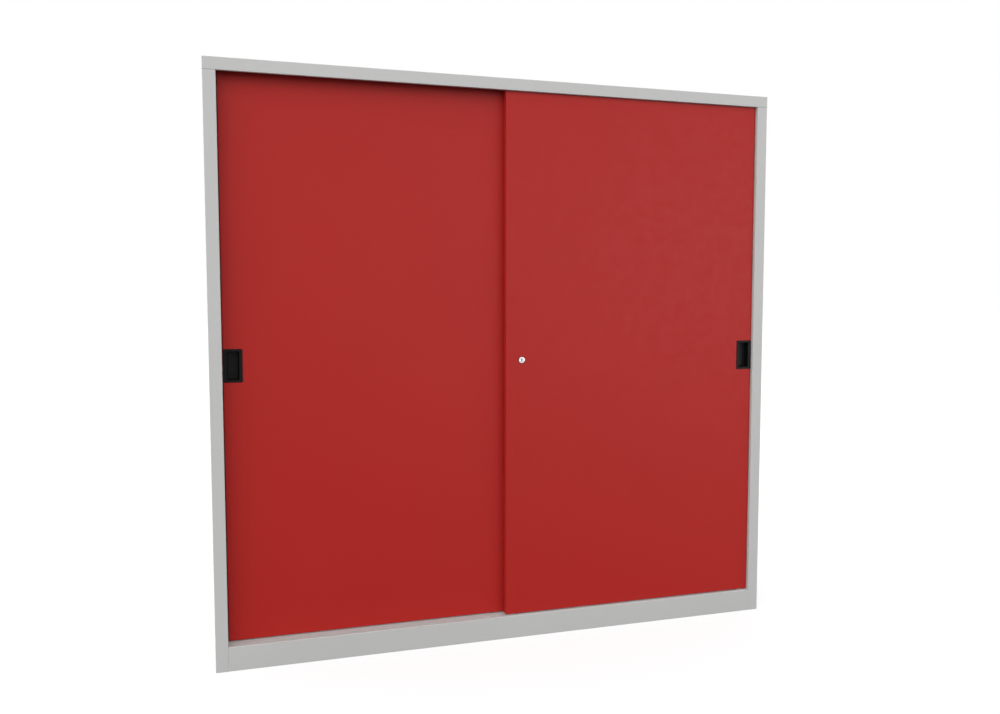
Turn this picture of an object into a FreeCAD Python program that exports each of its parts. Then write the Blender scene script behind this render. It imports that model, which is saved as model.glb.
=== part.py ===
import FreeCAD, Part
import math
import os

# Free-standing steel cabinet with two top-hung sliding doors that run in
# separate lanes, one behind the other, over two bays of adjustable shelves.
#
# Frame: millimetres, X to the right, Y from the front to the back, Z up.
# The origin is at the middle of the footprint, on the floor.

# ---- Overall size -----------------------------------------------------------
cabinet_width = 2000.0
cabinet_height = 1950.0
cabinet_depth = 500.0

# ---- Sheet metal and clearances ---------------------------------------------
sheet = 1.0                  # body and door sheet
bend_radius = 1.0            # inside radius of a fold
sharp_fold = None            # for folds of hidden and repeated pieces, drawn without a radius
seam_gap = 0.3               # open seam between two panels of the body
lap = 0.2                    # how far a folded flange reaches into the wall it comes from
running_gap = 0.3            # between pieces that move past each other
shaft_clearance = 0.05       # radial, shaft in its bore

# ---- Body -------------------------------------------------------------------
stile_width = 40.0           # face of a side panel beside the doors
jamb_depth = 84.0            # return of the stile, beside both door lanes
jamb_lip = 15.0              # fold at the back edge of that return
side_rear_flange = 22.0
side_cap_width = 20.0        # fold along the top of a side panel
rail_height = 40.0           # front face of the top panel, over the doors
rail_lip = 10.0              # fold along the lower edge of that face
top_side_lip = 18.0
top_rear_lip = 10.0
plinth_height = 80.0
plinth_lip = 20.0            # fold that stands on the floor
floor_side_flange = 40.0
back_panel_inset = 3.0       # back panel edge to the outside of the body
back_panel_joint = 0.5

bearer_width = 60.0          # channels under the floor
bearer_height = 40.0
bearer_front = 110.0         # from the front of the cabinet
bearer_spread = 500.0        # side bearers from the middle one

partition_thickness = 25.0
partition_front = 92.0       # from the front of the cabinet

# ---- Shelves ----------------------------------------------------------------
shelf_count = 4              # in each bay
shelf_front = 95.0           # from the front of the cabinet
shelf_back_gap = 8.0
shelf_height = 25.0
shelf_lip = 12.0
shelf_end_gap = 0.5          # shelf end to the upright of its clips

shelf_spacing = 350.0
lowest_shelf = 325.0         # its underside over the floor of the bay
slots_per_shelf = 3          # slots from one shelf to the next
slot_count = 13
slot_width = 18.0
slot_height = 3.0

shelf_rail_width = 30.0
shelf_rail_depth = 8.0
shelf_rail_inset = 25.0      # rail edge to the shelf's front and back edges
shelf_rail_margin = 20.0     # rail end past its first and last slot

clip_sheet = 1.5
clip_width = 16.0
clip_hook = 6.0              # part that hangs behind the slot
clip_drop = 12.0             # slot to ledge
clip_ledge = 14.0
clip_gap = 0.2

# ---- Doors ------------------------------------------------------------------
front_lane = 11.5            # face of the front door behind the cabinet front
lane_pitch = 36.5            # from one door face to the other
door_thickness = 28.0
door_overlap = 34.0
door_edge_gap = 2.0          # closed door to the jamb
door_floor_gap = 3.0
door_top_gap = 3.0           # door to the track
door_lip = 15.0              # fold along the back edges of the pan

stiffener_crown = 28.0
stiffener_foot = 15.0
stiffener_flare = 6.0        # sideways run of each slanted web
stiffener_height = 20.0
stiffener_spread = 160.0     # each side of the door's middle
stiffener_end_gap = 30.0

buffer_width = 12.0
buffer_length = 30.0
buffer_low = 200.0           # over the floor of the bay
buffer_high = 1600.0

# ---- Tracks, hangers and guides ---------------------------------------------
track_sheet = 1.5
track_height = 24.0
track_setback = 24.0         # back of the track behind the face of its door
track_flange = 20.0          # fold under the top panel
track_tread = 10.0           # fold that the wheels run on
track_upturn = 5.0           # edge that keeps the wheels on the tread
track_end_gap = 1.5

wheel_radius = 8.5
wheel_width = 5.5
axle_radius = 2.5
axle_end_gap = 0.6           # axle to the back of the track

hanger_sheet = 2.5
hanger_gap = 1.0             # hanger to the track's upturned edge
hanger_length = 40.0
hanger_foot = 12.0           # fold that carries the door from under its top
hanger_rise = 7.0            # hanger over the axle
hanger_chamfer = 8.0
hanger_slot_clearance = 0.3
hanger_inset = 120.0         # from the door's edge

track_stop_length = 20.0
hand_room = 10.0             # open rear door: its handle to the front door

groove_width = 6.0
groove_depth = 12.0
groove_setback = 2.5         # behind the face of its door
guide_play = 0.5             # each side of the guide's fin
guide_tip_gap = 2.5          # under the fin
guide_fin_length = 40.0
guide_body_length = 50.0
guide_body_width = 20.0
guide_body_height = 16.0
guide_slot_clearance = 0.3
guide_inset = 60.0           # from the door's edge

# ---- Handles ----------------------------------------------------------------
handle_width = 60.0
handle_height = 108.0
handle_flange_thickness = 1.5
handle_corner = 3.0
handle_edge_inset = 1.5      # from the door's edge
pocket_width = 38.0
pocket_height = 92.0
pocket_depth = 22.0
pocket_draft = 2.0           # narrower each side at the bottom of the pocket
pocket_wall = 1.5
pocket_hole_clearance = 0.3

# ---- Lock -------------------------------------------------------------------
lock_height = 989.0          # lock and handles, over the floor
bezel_radius = 11.0
bezel_height = 3.5
barrel_radius = 9.0
barrel_hole_clearance = 0.2
barrel_setback = 0.5         # end of the barrel inside the back of the door
plug_radius = 6.0
plug_recess = 0.3            # behind the face of the bezel
key_slot_width = 3.0
key_slot_height = 8.0
key_slot_depth = 20.0
lock_nut_across_flats = 24.0
lock_nut_thickness = 4.0

cam_sheet = 2.0
cam_reach = 33.0             # pivot to the catch pin when locked
cam_width = 18.0
cam_hook = 4.0               # metal outside the notch
cam_joggle_start = 7.0
cam_joggle_end = 13.0
cam_step = 4.6               # joggle that reaches towards the rear door
cam_notch_clearance = 1.0    # play round the catch pin
cam_screw_radius = 2.0
cam_screw_head_radius = 4.5
cam_screw_head = 2.0
cam_screw_depth = 8.0

catch_inset = 9.0            # pin from the rear door's free edge
catch_pin_radius = 3.0
catch_pin_height = 4.0
catch_plate_width = 26.0
catch_plate_height = 30.0
catch_plate_thickness = 1.0

# ---- Places worked out from the sizes ---------------------------------------
half_width = cabinet_width / 2
half_inside = half_width - sheet
half_opening = half_width - stile_width
front = -cabinet_depth / 2
back_panel_face = cabinet_depth / 2
rear = back_panel_face - sheet
inside_rear = rear - sheet
inside_top = cabinet_height - sheet
side_top = cabinet_height - rail_height - seam_gap
floor_level = plinth_height

rear_lane = front_lane + lane_pitch
door_width = half_opening - door_edge_gap + door_overlap / 2
half_door_span = half_opening - door_edge_gap
track_bottom = inside_top - track_height
door_bottom = floor_level + door_floor_gap
door_top = track_bottom - door_top_gap
front_door_left = half_door_span - door_width
rear_door_left = -half_door_span
rear_door_right = rear_door_left + door_width
tread_level = track_bottom + track_sheet
axle_height = tread_level + running_gap + wheel_radius
hanger_top = axle_height + hanger_rise

lowest_used_slot = floor_level + lowest_shelf + clip_drop
first_slot_level = lowest_used_slot - (slots_per_shelf - 1) * shelf_spacing / slots_per_shelf
shelf_rail_front = front + shelf_front + shelf_rail_inset
shelf_rear = rear - shelf_back_gap
shelf_rail_rear = shelf_rear - shelf_rail_inset - shelf_rail_width

lock_y = front + front_lane
pin_x = rear_door_right - catch_inset
lock_x = pin_x + cam_reach
barrel_end = lock_y + door_thickness - barrel_setback
cam_near = barrel_end + running_gap
cam_tip_near = cam_near + cam_step

rear_handle_right = rear_door_left + handle_edge_inset + handle_width
rear_door_travel = front_door_left - hand_room - rear_handle_right


# ---- Shape helpers ----------------------------------------------------------
def across(x):
    """Place a profile drawn as (y, z) in the plane at x."""
    return lambda u, v: FreeCAD.Vector(x, u, v)


def level(z):
    """Place a profile drawn as (x, y) in the plane at height z."""
    return lambda u, v: FreeCAD.Vector(u, v, z)


def upright(y):
    """Place a profile drawn as (x, z) in the plane at y."""
    return lambda u, v: FreeCAD.Vector(u, y, v)


def along_x(length):
    return FreeCAD.Vector(length, 0, 0)


def along_y(length):
    return FreeCAD.Vector(0, length, 0)


def along_z(length):
    return FreeCAD.Vector(0, 0, length)


def unit(start, end):
    """Direction from one (u, v) point to another."""
    length = math.hypot(end[0] - start[0], end[1] - start[1])
    return ((end[0] - start[0]) / length, (end[1] - start[1]) / length)


def rounded_outline(corners, radii, place):
    """Closed wire through the corners, each rounded by its own radius."""
    edges = []
    stops = []
    for index, corner in enumerate(corners):
        radius = radii[index]
        if radius == 0:
            stops.append((corner, corner, None))
            continue
        to_last = unit(corner, corners[index - 1])
        to_next = unit(corner, corners[(index + 1) % len(corners)])
        dot = to_last[0] * to_next[0] + to_last[1] * to_next[1]
        half_angle = math.acos(dot) / 2
        setback = radius / math.tan(half_angle)
        bisector = unit((0, 0), (to_last[0] + to_next[0], to_last[1] + to_next[1]))
        reach = radius / math.sin(half_angle) - radius
        entry = (corner[0] + setback * to_last[0], corner[1] + setback * to_last[1])
        leave = (corner[0] + setback * to_next[0], corner[1] + setback * to_next[1])
        middle = (corner[0] + reach * bisector[0], corner[1] + reach * bisector[1])
        stops.append((entry, leave, middle))
    for index, (entry, leave, middle) in enumerate(stops):
        if middle is not None:
            edges.append(Part.Arc(place(*entry), place(*middle), place(*leave)).toShape())
        following = stops[(index + 1) % len(stops)][0]
        start = place(*leave)
        end = place(*following)
        if start.distanceToPoint(end) > 1e-6:
            edges.append(Part.LineSegment(start, end).toShape())
    return Part.Wire(edges)


def solid_between(corners, radii, place, travel):
    """Prism of a rounded outline, swept by a straight travel."""
    return Part.Face(rounded_outline(corners, radii, place)).extrude(travel)


def folded_sheet(path, thickness, inside_radius, place, travel):
    """Sheet folded along a path, swept by a straight travel.

    The path runs on one face of the sheet, and a positive thickness lies on its
    left. Each fold keeps the inside radius, with the outside one sheet larger,
    or has sharp corners where the radius is None. A list gives each point's radius.
    """
    directions = [unit(path[i], path[i + 1]) for i in range(len(path) - 1)]
    normals = [(-d[1], d[0]) for d in directions]
    offset_path = []
    path_radii = []
    offset_radii = []
    inside_radii = inside_radius if isinstance(inside_radius, list) else [inside_radius] * len(path)
    for index, point in enumerate(path):
        inside = inside_radii[index]
        first = normals[max(index - 1, 0)]
        second = normals[min(index, len(normals) - 1)]
        scale = thickness / (1 + first[0] * second[0] + first[1] * second[1])
        shift = ((first[0] + second[0]) * scale, (first[1] + second[1]) * scale)
        offset_path.append((point[0] + shift[0], point[1] + shift[1]))
        turn = first[0] * second[1] - first[1] * second[0]
        if inside is None or abs(turn) < 1e-9:
            path_radii.append(0)
            offset_radii.append(0)
        elif turn * thickness > 0:
            path_radii.append(inside + abs(thickness))
            offset_radii.append(inside)
        else:
            path_radii.append(inside)
            offset_radii.append(inside + abs(thickness))
    corners = path + offset_path[::-1]
    radii = path_radii + offset_radii[::-1]
    return solid_between(corners, radii, place, travel)


def block(low, high):
    """Box between two opposite corners."""
    size = [high[i] - low[i] for i in range(3)]
    return Part.makeBox(size[0], size[1], size[2], FreeCAD.Vector(*low))


def rod(radius, start, end):
    """Round bar between two points."""
    begin = FreeCAD.Vector(*start)
    travel = FreeCAD.Vector(*end) - begin
    return Part.makeCylinder(radius, travel.Length, begin, travel)


def hexagon(across_flats, centre, place, travel):
    """Hexagonal prism with two flats parallel to the profile's first axis."""
    radius = across_flats / math.sqrt(3)
    corners = []
    for index in range(6):
        angle = math.radians(60 * index)
        corners.append((centre[0] + radius * math.cos(angle), centre[1] + radius * math.sin(angle)))
    return solid_between(corners, [0] * 6, place, travel)


def group(solids):
    """Several separate solids kept in one node."""
    return Part.makeCompound(solids)


def mirrored(shape):
    """The same piece on the other side of the cabinet's middle."""
    return shape.mirror(FreeCAD.Vector(0, 0, 0), FreeCAD.Vector(1, 0, 0))


# ---- Body -------------------------------------------------------------------
def make_left_side_panel():
    """Side wall, stile and jamb folded from one sheet, closed at the top."""
    path = [
        (-half_width + side_rear_flange, rear),
        (-half_width, rear),
        (-half_width, front),
        (-half_opening, front),
        (-half_opening, front + jamb_depth),
        (-half_opening - jamb_lip, front + jamb_depth),
    ]
    panel = folded_sheet(path, sheet, bend_radius, level(0), along_z(side_top))
    stile_cap = block(
        (-half_inside - lap, front + sheet - lap, side_top - sheet),
        (-half_opening - sheet + lap, front + jamb_depth - sheet + lap, side_top),
    )
    wall_cap = block(
        (-half_inside - lap, front + sheet - lap, side_top - sheet),
        (-half_width + side_cap_width, inside_rear + lap, side_top),
    )
    return panel.fuse([stile_cap, wall_cap]).removeSplitter()


def make_top_panel():
    """Top, front rail and flanges in one pan, with lips along its lower edge."""
    bottom = cabinet_height - rail_height
    path = [
        (rear - top_rear_lip, bottom),
        (rear, bottom),
        (rear, cabinet_height),
        (front, cabinet_height),
        (front, bottom),
        (front + rail_lip, bottom),
    ]
    pan = folded_sheet(path, sheet, bend_radius, across(-half_width), along_x(cabinet_width))
    flange = block(
        (half_inside, front + sheet - lap, bottom),
        (half_width, inside_rear + lap, inside_top + lap),
    )
    lip = block(
        (half_width - top_side_lip, front + rail_lip - lap, bottom),
        (half_inside + lap, rear - top_rear_lip + lap, bottom + sheet),
    )
    return pan.fuse([flange, lip, mirrored(flange), mirrored(lip)]).removeSplitter()


def make_base_panel():
    """Plinth, guide grooves, floor and rear skirt folded from one sheet."""
    groove_bottom = floor_level - groove_depth
    path = [
        (rear - plinth_lip, 0),
        (rear, 0),
        (rear, floor_level),
    ]
    radii = [bend_radius] * 3
    for lane in (rear_lane, front_lane):
        near = front + lane + groove_setback
        far = near + groove_width
        path += [
            (far, floor_level),
            (far, groove_bottom),
            (near, groove_bottom),
            (near, floor_level),
        ]
        radii += [sharp_fold] * 4
    path += [
        (front, floor_level),
        (front, 0),
        (front + plinth_lip, 0),
    ]
    radii += [bend_radius] * 3
    half_plinth = half_opening - seam_gap
    pan = folded_sheet(path, sheet, radii, across(-half_plinth), along_x(2 * half_plinth))
    # Behind the jambs the floor widens to meet the side walls.
    half_floor = half_inside - seam_gap
    wing_front = front + jamb_depth + seam_gap
    wing_rear = inside_rear - seam_gap
    wing = block((half_plinth, wing_front, floor_level - sheet), (half_floor, wing_rear, floor_level))
    flange = block(
        (half_floor - sheet, wing_front, floor_level - floor_side_flange),
        (half_floor, wing_rear, floor_level),
    )
    return pan.fuse([wing, flange, mirrored(wing), mirrored(flange)]).removeSplitter()


def make_left_back_panel():
    return block(
        (-half_width + back_panel_inset, rear, back_panel_inset),
        (-back_panel_joint / 2, back_panel_face, cabinet_height - back_panel_inset),
    )


def make_floor_bearers():
    """Channels that carry the floor between plinth and rear skirt."""
    bearers = []
    top = floor_level - sheet
    for centre in (-bearer_spread, 0, bearer_spread):
        path = [
            (centre - bearer_width / 2, top - bearer_height),
            (centre - bearer_width / 2, top),
            (centre + bearer_width / 2, top),
            (centre + bearer_width / 2, top - bearer_height),
        ]
        start = front + bearer_front
        length = inside_rear - bend_radius - seam_gap - start
        bearers.append(folded_sheet(path, -sheet, sharp_fold, upright(start), along_y(length)))
    return group(bearers)


def make_centre_partition():
    """Hollow wall between the bays, notched over the top panel's rear lip."""
    half = partition_thickness / 2
    partition_face = front + partition_front
    outer = [(-half, partition_face), (half, partition_face), (half, rear), (-half, rear)]
    inner = [
        (-half + sheet, partition_face + sheet),
        (half - sheet, partition_face + sheet),
        (half - sheet, rear - sheet),
        (-half + sheet, rear - sheet),
    ]
    rise = along_z(inside_top - floor_level)
    skin = solid_between(outer, [0] * 4, level(floor_level), rise)
    core = solid_between(inner, [0] * 4, level(floor_level), rise)
    notch = block((-half, rear - top_rear_lip - seam_gap, side_top), (half, rear, inside_top))
    return skin.cut(core).cut(notch)


# ---- Shelves ----------------------------------------------------------------
def bay_walls(side):
    """Outer and inner wall of a bay, as x places, for side -1 or 1."""
    return side * half_inside, side * partition_thickness / 2


def slot_level(index):
    """Underside of a slot."""
    return first_slot_level + index * shelf_spacing / slots_per_shelf


def ledge_level(number):
    """Where a shelf rests on its clips, counted from 1 at the bottom."""
    return slot_level(number * slots_per_shelf - 1) - clip_drop


def make_shelf_rail(wall, into_bay, near):
    """Slotted channel on a wall. into_bay is 1 where the bay lies towards +X."""
    face = wall + into_bay * shelf_rail_depth
    path = [
        (wall, near),
        (face, near),
        (face, near + shelf_rail_width),
        (wall, near + shelf_rail_width),
    ]
    bottom = slot_level(0) - shelf_rail_margin
    top = slot_level(slot_count - 1) + slot_height + shelf_rail_margin
    rail = folded_sheet(path, into_bay * sheet, sharp_fold, level(bottom), along_z(top - bottom))
    middle = near + shelf_rail_width / 2
    slots = []
    for index in range(slot_count):
        low_x = min(face - into_bay * 2 * sheet, face + into_bay * sheet)
        slots.append(block(
            (low_x, middle - slot_width / 2, slot_level(index)),
            (low_x + 3 * sheet, middle + slot_width / 2, slot_level(index) + slot_height),
        ))
    return rail.cut(slots)


def make_shelf_rails(walls):
    rails = []
    for wall, into_bay in walls:
        for near in (shelf_rail_front, shelf_rail_rear):
            rails.append(make_shelf_rail(wall, into_bay, near))
    return group(rails)


def make_shelf(side, number):
    """Shelf with a double fold at the front and back and a flange at each end."""
    outer_wall, inner_wall = bay_walls(side)
    room = shelf_rail_depth + clip_gap + clip_sheet + shelf_end_gap
    low_x = min(outer_wall, inner_wall) + room
    high_x = max(outer_wall, inner_wall) - room
    bottom = ledge_level(number)
    top = bottom + shelf_height
    near = front + shelf_front
    path = [
        (shelf_rear - shelf_lip, bottom),
        (shelf_rear, bottom),
        (shelf_rear, top),
        (near, top),
        (near, bottom),
        (near + shelf_lip, bottom),
    ]
    shelf = folded_sheet(path, sheet, sharp_fold, across(low_x), along_x(high_x - low_x))
    flange_near = near + shelf_lip + sheet
    flange_far = shelf_rear - shelf_lip - sheet
    ends = []
    for start in (low_x, high_x - sheet):
        ends.append(block((start, flange_near, bottom), (start + sheet, flange_far, top)))
    return shelf.fuse(ends).removeSplitter()


def make_shelf_clip(wall, into_bay, near, number):
    """Bent clip hooked in a slot, with a ledge under the shelf."""
    face = wall + into_bay * shelf_rail_depth
    ledge = ledge_level(number)
    tongue = ledge + clip_drop
    behind = face - into_bay * (sheet + clip_gap)
    outside = face + into_bay * clip_gap
    path = [
        (behind, tongue + clip_gap - clip_hook),
        (behind, tongue + clip_gap),
        (outside, tongue + clip_gap),
        (outside, ledge),
        (face + into_bay * clip_ledge, ledge),
    ]
    start = near + shelf_rail_width / 2 - clip_width / 2
    corners = clip_outline(path, into_bay)
    return solid_between(corners, [0] * len(corners), upright(start), along_y(clip_width))


def clip_outline(path, into_bay):
    """Corners of the clip, which is one sheet thick everywhere."""
    hook, tongue, corner, drop, tip = path
    back = hook[0] - into_bay * clip_sheet
    plate = corner[0] + into_bay * clip_sheet
    top = tongue[1] + clip_sheet
    return [
        hook,
        tongue,
        corner,
        (drop[0], drop[1] - clip_sheet),
        (tip[0], tip[1] - clip_sheet),
        tip,
        (plate, drop[1]),
        (plate, top),
        (back, top),
        (back, hook[1]),
    ]


def make_shelf_clips():
    clips = []
    for side in (-1, 1):
        outer_wall, inner_wall = bay_walls(side)
        for number in range(1, shelf_count + 1):
            for near in (shelf_rail_front, shelf_rail_rear):
                clips.append(make_shelf_clip(outer_wall, -side, near, number))
                clips.append(make_shelf_clip(inner_wall, side, near, number))
    return group(clips)


# ---- Tracks and buffers -----------------------------------------------------
def track_back(lane):
    """Back face of the track over a lane."""
    return front + lane + track_setback


def tread_middle(lane):
    """Middle of the room that a wheel has between web and upturned edge."""
    return track_back(lane) - track_tread / 2


def hanger_face(lane):
    """Front face of the hanger's upright."""
    return track_back(lane) - track_tread - hanger_gap - hanger_sheet


def make_track(lane):
    """Rail folded from sheet: top flange, web, tread and upturned edge."""
    back = track_back(lane)
    path = [
        (back - track_flange, inside_top),
        (back, inside_top),
        (back, track_bottom),
        (back - track_tread, track_bottom),
        (back - track_tread, track_bottom + track_upturn),
    ]
    half_length = half_inside - track_end_gap
    return folded_sheet(
        path, -track_sheet, sharp_fold, across(-half_length), along_x(2 * half_length)
    )


def make_track_stop():
    """Block on the rear track's tread that ends the rear door's travel."""
    back = track_back(rear_lane) - track_sheet
    hanger_end = rear_door_right - hanger_inset + hanger_length / 2
    start = hanger_end + rear_door_travel + running_gap
    return block(
        (start, hanger_face(rear_lane), track_bottom + track_upturn),
        (start + track_stop_length, back, hanger_top),
    ).fuse(block(
        (start, back - track_tread + 2 * track_sheet, tread_level),
        (start + track_stop_length, back, hanger_top),
    )).removeSplitter()


def make_door_buffers():
    """Rubber pads on the jambs, where a door's edge comes to rest."""
    height = door_edge_gap - running_gap
    buffers = []
    for side, lane in ((-1, front_lane), (1, front_lane), (-1, rear_lane)):
        for rise in (buffer_low, buffer_high):
            middle = front + lane + door_thickness / 2
            bottom = floor_level + rise
            ends = sorted([side * half_opening, side * (half_opening - height)])
            buffers.append(block(
                (ends[0], middle - buffer_width / 2, bottom),
                (ends[1], middle + buffer_width / 2, bottom + buffer_length),
            ))
    return group(buffers)


# ---- Doors ------------------------------------------------------------------
def pair_places(left, inset):
    """Two x places, each the same inset from its edge of a door."""
    return left + inset, left + door_width - inset


def handle_centre(left, at_right_edge):
    """Middle of the handle, as an x place."""
    inset = handle_edge_inset + handle_width / 2
    if at_right_edge:
        return left + door_width - inset
    return left + inset


def make_door_pan(left, face):
    """Door skin folded back on all four sides, with a lip behind each fold."""
    right = left + door_width
    back = face + door_thickness
    path = [
        (left + door_lip, back),
        (left, back),
        (left, face),
        (right, face),
        (right, back),
        (right - door_lip, back),
    ]
    height = along_z(door_top - door_bottom)
    skin = folded_sheet(path, sheet, bend_radius, level(door_bottom), height)
    folds = []
    for edge, inward in ((door_bottom, 1), (door_top, -1)):
        flange_z = sorted([edge, edge + inward * sheet])
        lip_z = sorted([edge, edge + inward * door_lip])
        folds.append(block(
            (left + sheet - lap, face + sheet - lap, flange_z[0]),
            (right - sheet + lap, back - sheet + lap, flange_z[1]),
        ))
        folds.append(block(
            (left + door_lip - lap, back - sheet, lip_z[0]),
            (right - door_lip + lap, back, lip_z[1]),
        ))
    return skin.fuse(folds).removeSplitter()


def make_door_panel(left, lane, handle_x):
    """Door pan with holes for its hangers, guides and handle."""
    face = front + lane
    pan = make_door_pan(left, face)
    openings = []
    near = hanger_face(lane) - hanger_slot_clearance
    far = hanger_face(lane) + hanger_sheet + hanger_slot_clearance
    half_slot = hanger_length / 2 + hanger_slot_clearance
    for x in pair_places(left, hanger_inset):
        openings.append(block(
            (x - half_slot, near, door_top - 2 * sheet),
            (x + half_slot, far, door_top + sheet),
        ))
    fin_near = face + groove_setback + guide_play - guide_slot_clearance
    fin_far = face + groove_setback + groove_width - guide_play + guide_slot_clearance
    half_fin = guide_fin_length / 2 + guide_slot_clearance
    for x in pair_places(left, guide_inset):
        openings.append(block(
            (x - half_fin, fin_near, door_bottom - sheet),
            (x + half_fin, fin_far, door_bottom + 2 * sheet),
        ))
    grow = pocket_wall + pocket_hole_clearance
    openings.append(solid_between(
        centred_corners(handle_x, lock_height, pocket_width + 2 * grow, pocket_height + 2 * grow),
        [0] * 4,
        upright(face - sheet),
        along_y(3 * sheet),
    ))
    return pan.cut(openings)


def centred_corners(x, z, width, height):
    """Corners of an upright rectangle about a centre."""
    return [
        (x - width / 2, z - height / 2),
        (x + width / 2, z - height / 2),
        (x + width / 2, z + height / 2),
        (x - width / 2, z + height / 2),
    ]


def make_front_door_panel():
    handle_x = handle_centre(front_door_left, True)
    panel = make_door_panel(front_door_left, front_lane, handle_x)
    near = (lock_x, lock_y - sheet, lock_height)
    far = (lock_x, lock_y + 2 * sheet, lock_height)
    return panel.cut(rod(barrel_radius + barrel_hole_clearance, near, far))


def make_stiffeners(left, lane):
    """Hat sections bonded to the back of the door's skin."""
    skin = front + lane + sheet
    middle = left + door_width / 2
    half_crown = stiffener_crown / 2
    half_base = half_crown + stiffener_flare
    bottom = door_bottom + stiffener_end_gap
    length = door_top - stiffener_end_gap - bottom
    hats = []
    for centre in (middle - stiffener_spread, middle + stiffener_spread):
        path = [
            (centre - half_base - stiffener_foot, skin),
            (centre - half_base, skin),
            (centre - half_crown, skin + stiffener_height),
            (centre + half_crown, skin + stiffener_height),
            (centre + half_base, skin),
            (centre + half_base + stiffener_foot, skin),
        ]
        hats.append(folded_sheet(path, sheet, sharp_fold, level(bottom), along_z(length)))
    return group(hats)


def make_handle(centre_x, lane):
    """Flush pull: a flange on the door's face round a pocket with sloping walls."""
    face = front + lane
    outside = face - handle_flange_thickness
    flange = solid_between(
        centred_corners(centre_x, lock_height, handle_width, handle_height),
        [handle_corner] * 4,
        upright(outside),
        along_y(handle_flange_thickness),
    )
    bottom = face + pocket_depth
    shell = pocket_body(centre_x, pocket_wall, face, bottom + pocket_wall)
    hollow = pocket_body(centre_x, 0, outside, bottom)
    return flange.fuse(shell).cut(hollow).removeSplitter()


def pocket_body(centre_x, grow, near, far):
    """Solid that tapers from the pocket's mouth to its bottom."""
    wires = []
    for y, draft in ((near, 0), (far, pocket_draft)):
        corners = centred_corners(
            centre_x,
            lock_height,
            pocket_width + 2 * (grow - draft),
            pocket_height + 2 * (grow - draft),
        )
        wires.append(rounded_outline(corners, [0] * 4, upright(y)))
    return Part.makeLoft(wires, True, True)


# ---- Hangers and guides -----------------------------------------------------
def make_hangers(left, lane):
    """Brackets through the door's top, each with a foot that carries the door."""
    face = hanger_face(lane)
    foot_top = door_top - sheet
    path = [
        (face, hanger_top),
        (face, foot_top - hanger_sheet),
        (face + hanger_sheet + hanger_foot, foot_top - hanger_sheet),
    ]
    hangers = []
    for x in pair_places(left, hanger_inset):
        start = x - hanger_length / 2
        hanger = folded_sheet(path, hanger_sheet, sharp_fold, across(start), along_x(hanger_length))
        corners = [
            edge for edge in hanger.Edges
            if edge.BoundBox.ZMin > hanger_top - lap and edge.BoundBox.XLength < lap
        ]
        hanger = hanger.makeChamfer(hanger_chamfer, corners)
        bore = rod(
            axle_radius + shaft_clearance,
            (x, face - sheet, axle_height),
            (x, face + hanger_sheet + sheet, axle_height),
        )
        hangers.append(hanger.cut(bore))
    return group(hangers)


def make_axles(left, lane):
    """Pins fixed in the hangers, on which the wheels turn."""
    start = hanger_face(lane)
    end = track_back(lane) - track_sheet - axle_end_gap
    axles = []
    for x in pair_places(left, hanger_inset):
        axles.append(rod(axle_radius, (x, start, axle_height), (x, end, axle_height)))
    return group(axles)


def make_wheel(x, lane):
    """Wheel that runs on the track's tread."""
    near = (x, tread_middle(lane) - wheel_width / 2, axle_height)
    far = (x, tread_middle(lane) + wheel_width / 2, axle_height)
    return rod(wheel_radius, near, far).cut(rod(axle_radius + shaft_clearance, near, far))


def make_guides(left, lane):
    """Shoes inside the door's lower edge, with a fin down in the groove."""
    near = front + lane + groove_setback + guide_play
    fin_width = groove_width - 2 * guide_play
    seat = door_bottom + sheet
    tip = floor_level - groove_depth + guide_tip_gap
    shoes = []
    for x in pair_places(left, guide_inset):
        body = block(
            (x - guide_body_length / 2, near, seat),
            (x + guide_body_length / 2, near + guide_body_width, seat + guide_body_height),
        )
        fin = block(
            (x - guide_fin_length / 2, near, tip),
            (x + guide_fin_length / 2, near + fin_width, seat),
        )
        shoes.append(body.fuse(fin).removeSplitter())
    return group(shoes)


# ---- Lock -------------------------------------------------------------------
def lock_line(radius, near, far):
    """Round bar on the lock's axis."""
    return rod(radius, (lock_x, near, lock_height), (lock_x, far, lock_height))


def make_lock_housing():
    """Barrel through the door with a raised bezel on its face."""
    face = lock_y - bezel_height
    bezel = lock_line(bezel_radius, face, lock_y)
    housing = bezel.fuse(lock_line(barrel_radius, lock_y, barrel_end))
    return housing.cut(lock_line(plug_radius + shaft_clearance, face, barrel_end))


def make_lock_nut():
    start = lock_y + sheet
    nut = hexagon(
        lock_nut_across_flats,
        (lock_x, lock_height),
        upright(start),
        along_y(lock_nut_thickness),
    )
    end = start + lock_nut_thickness
    return nut.cut(lock_line(barrel_radius + shaft_clearance, start, end))


def make_lock_plug():
    """Key plug that turns in the housing and carries the cam at its end."""
    face = lock_y - bezel_height + plug_recess
    plug = lock_line(plug_radius, face, cam_near)
    key_slot = block(
        (lock_x - key_slot_width / 2, face - sheet, lock_height - key_slot_height / 2),
        (lock_x + key_slot_width / 2, face + key_slot_depth, lock_height + key_slot_height / 2),
    )
    thread = lock_line(cam_screw_radius + shaft_clearance, cam_near - cam_screw_depth, cam_near + sheet)
    return plug.cut([key_slot, thread])


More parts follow.
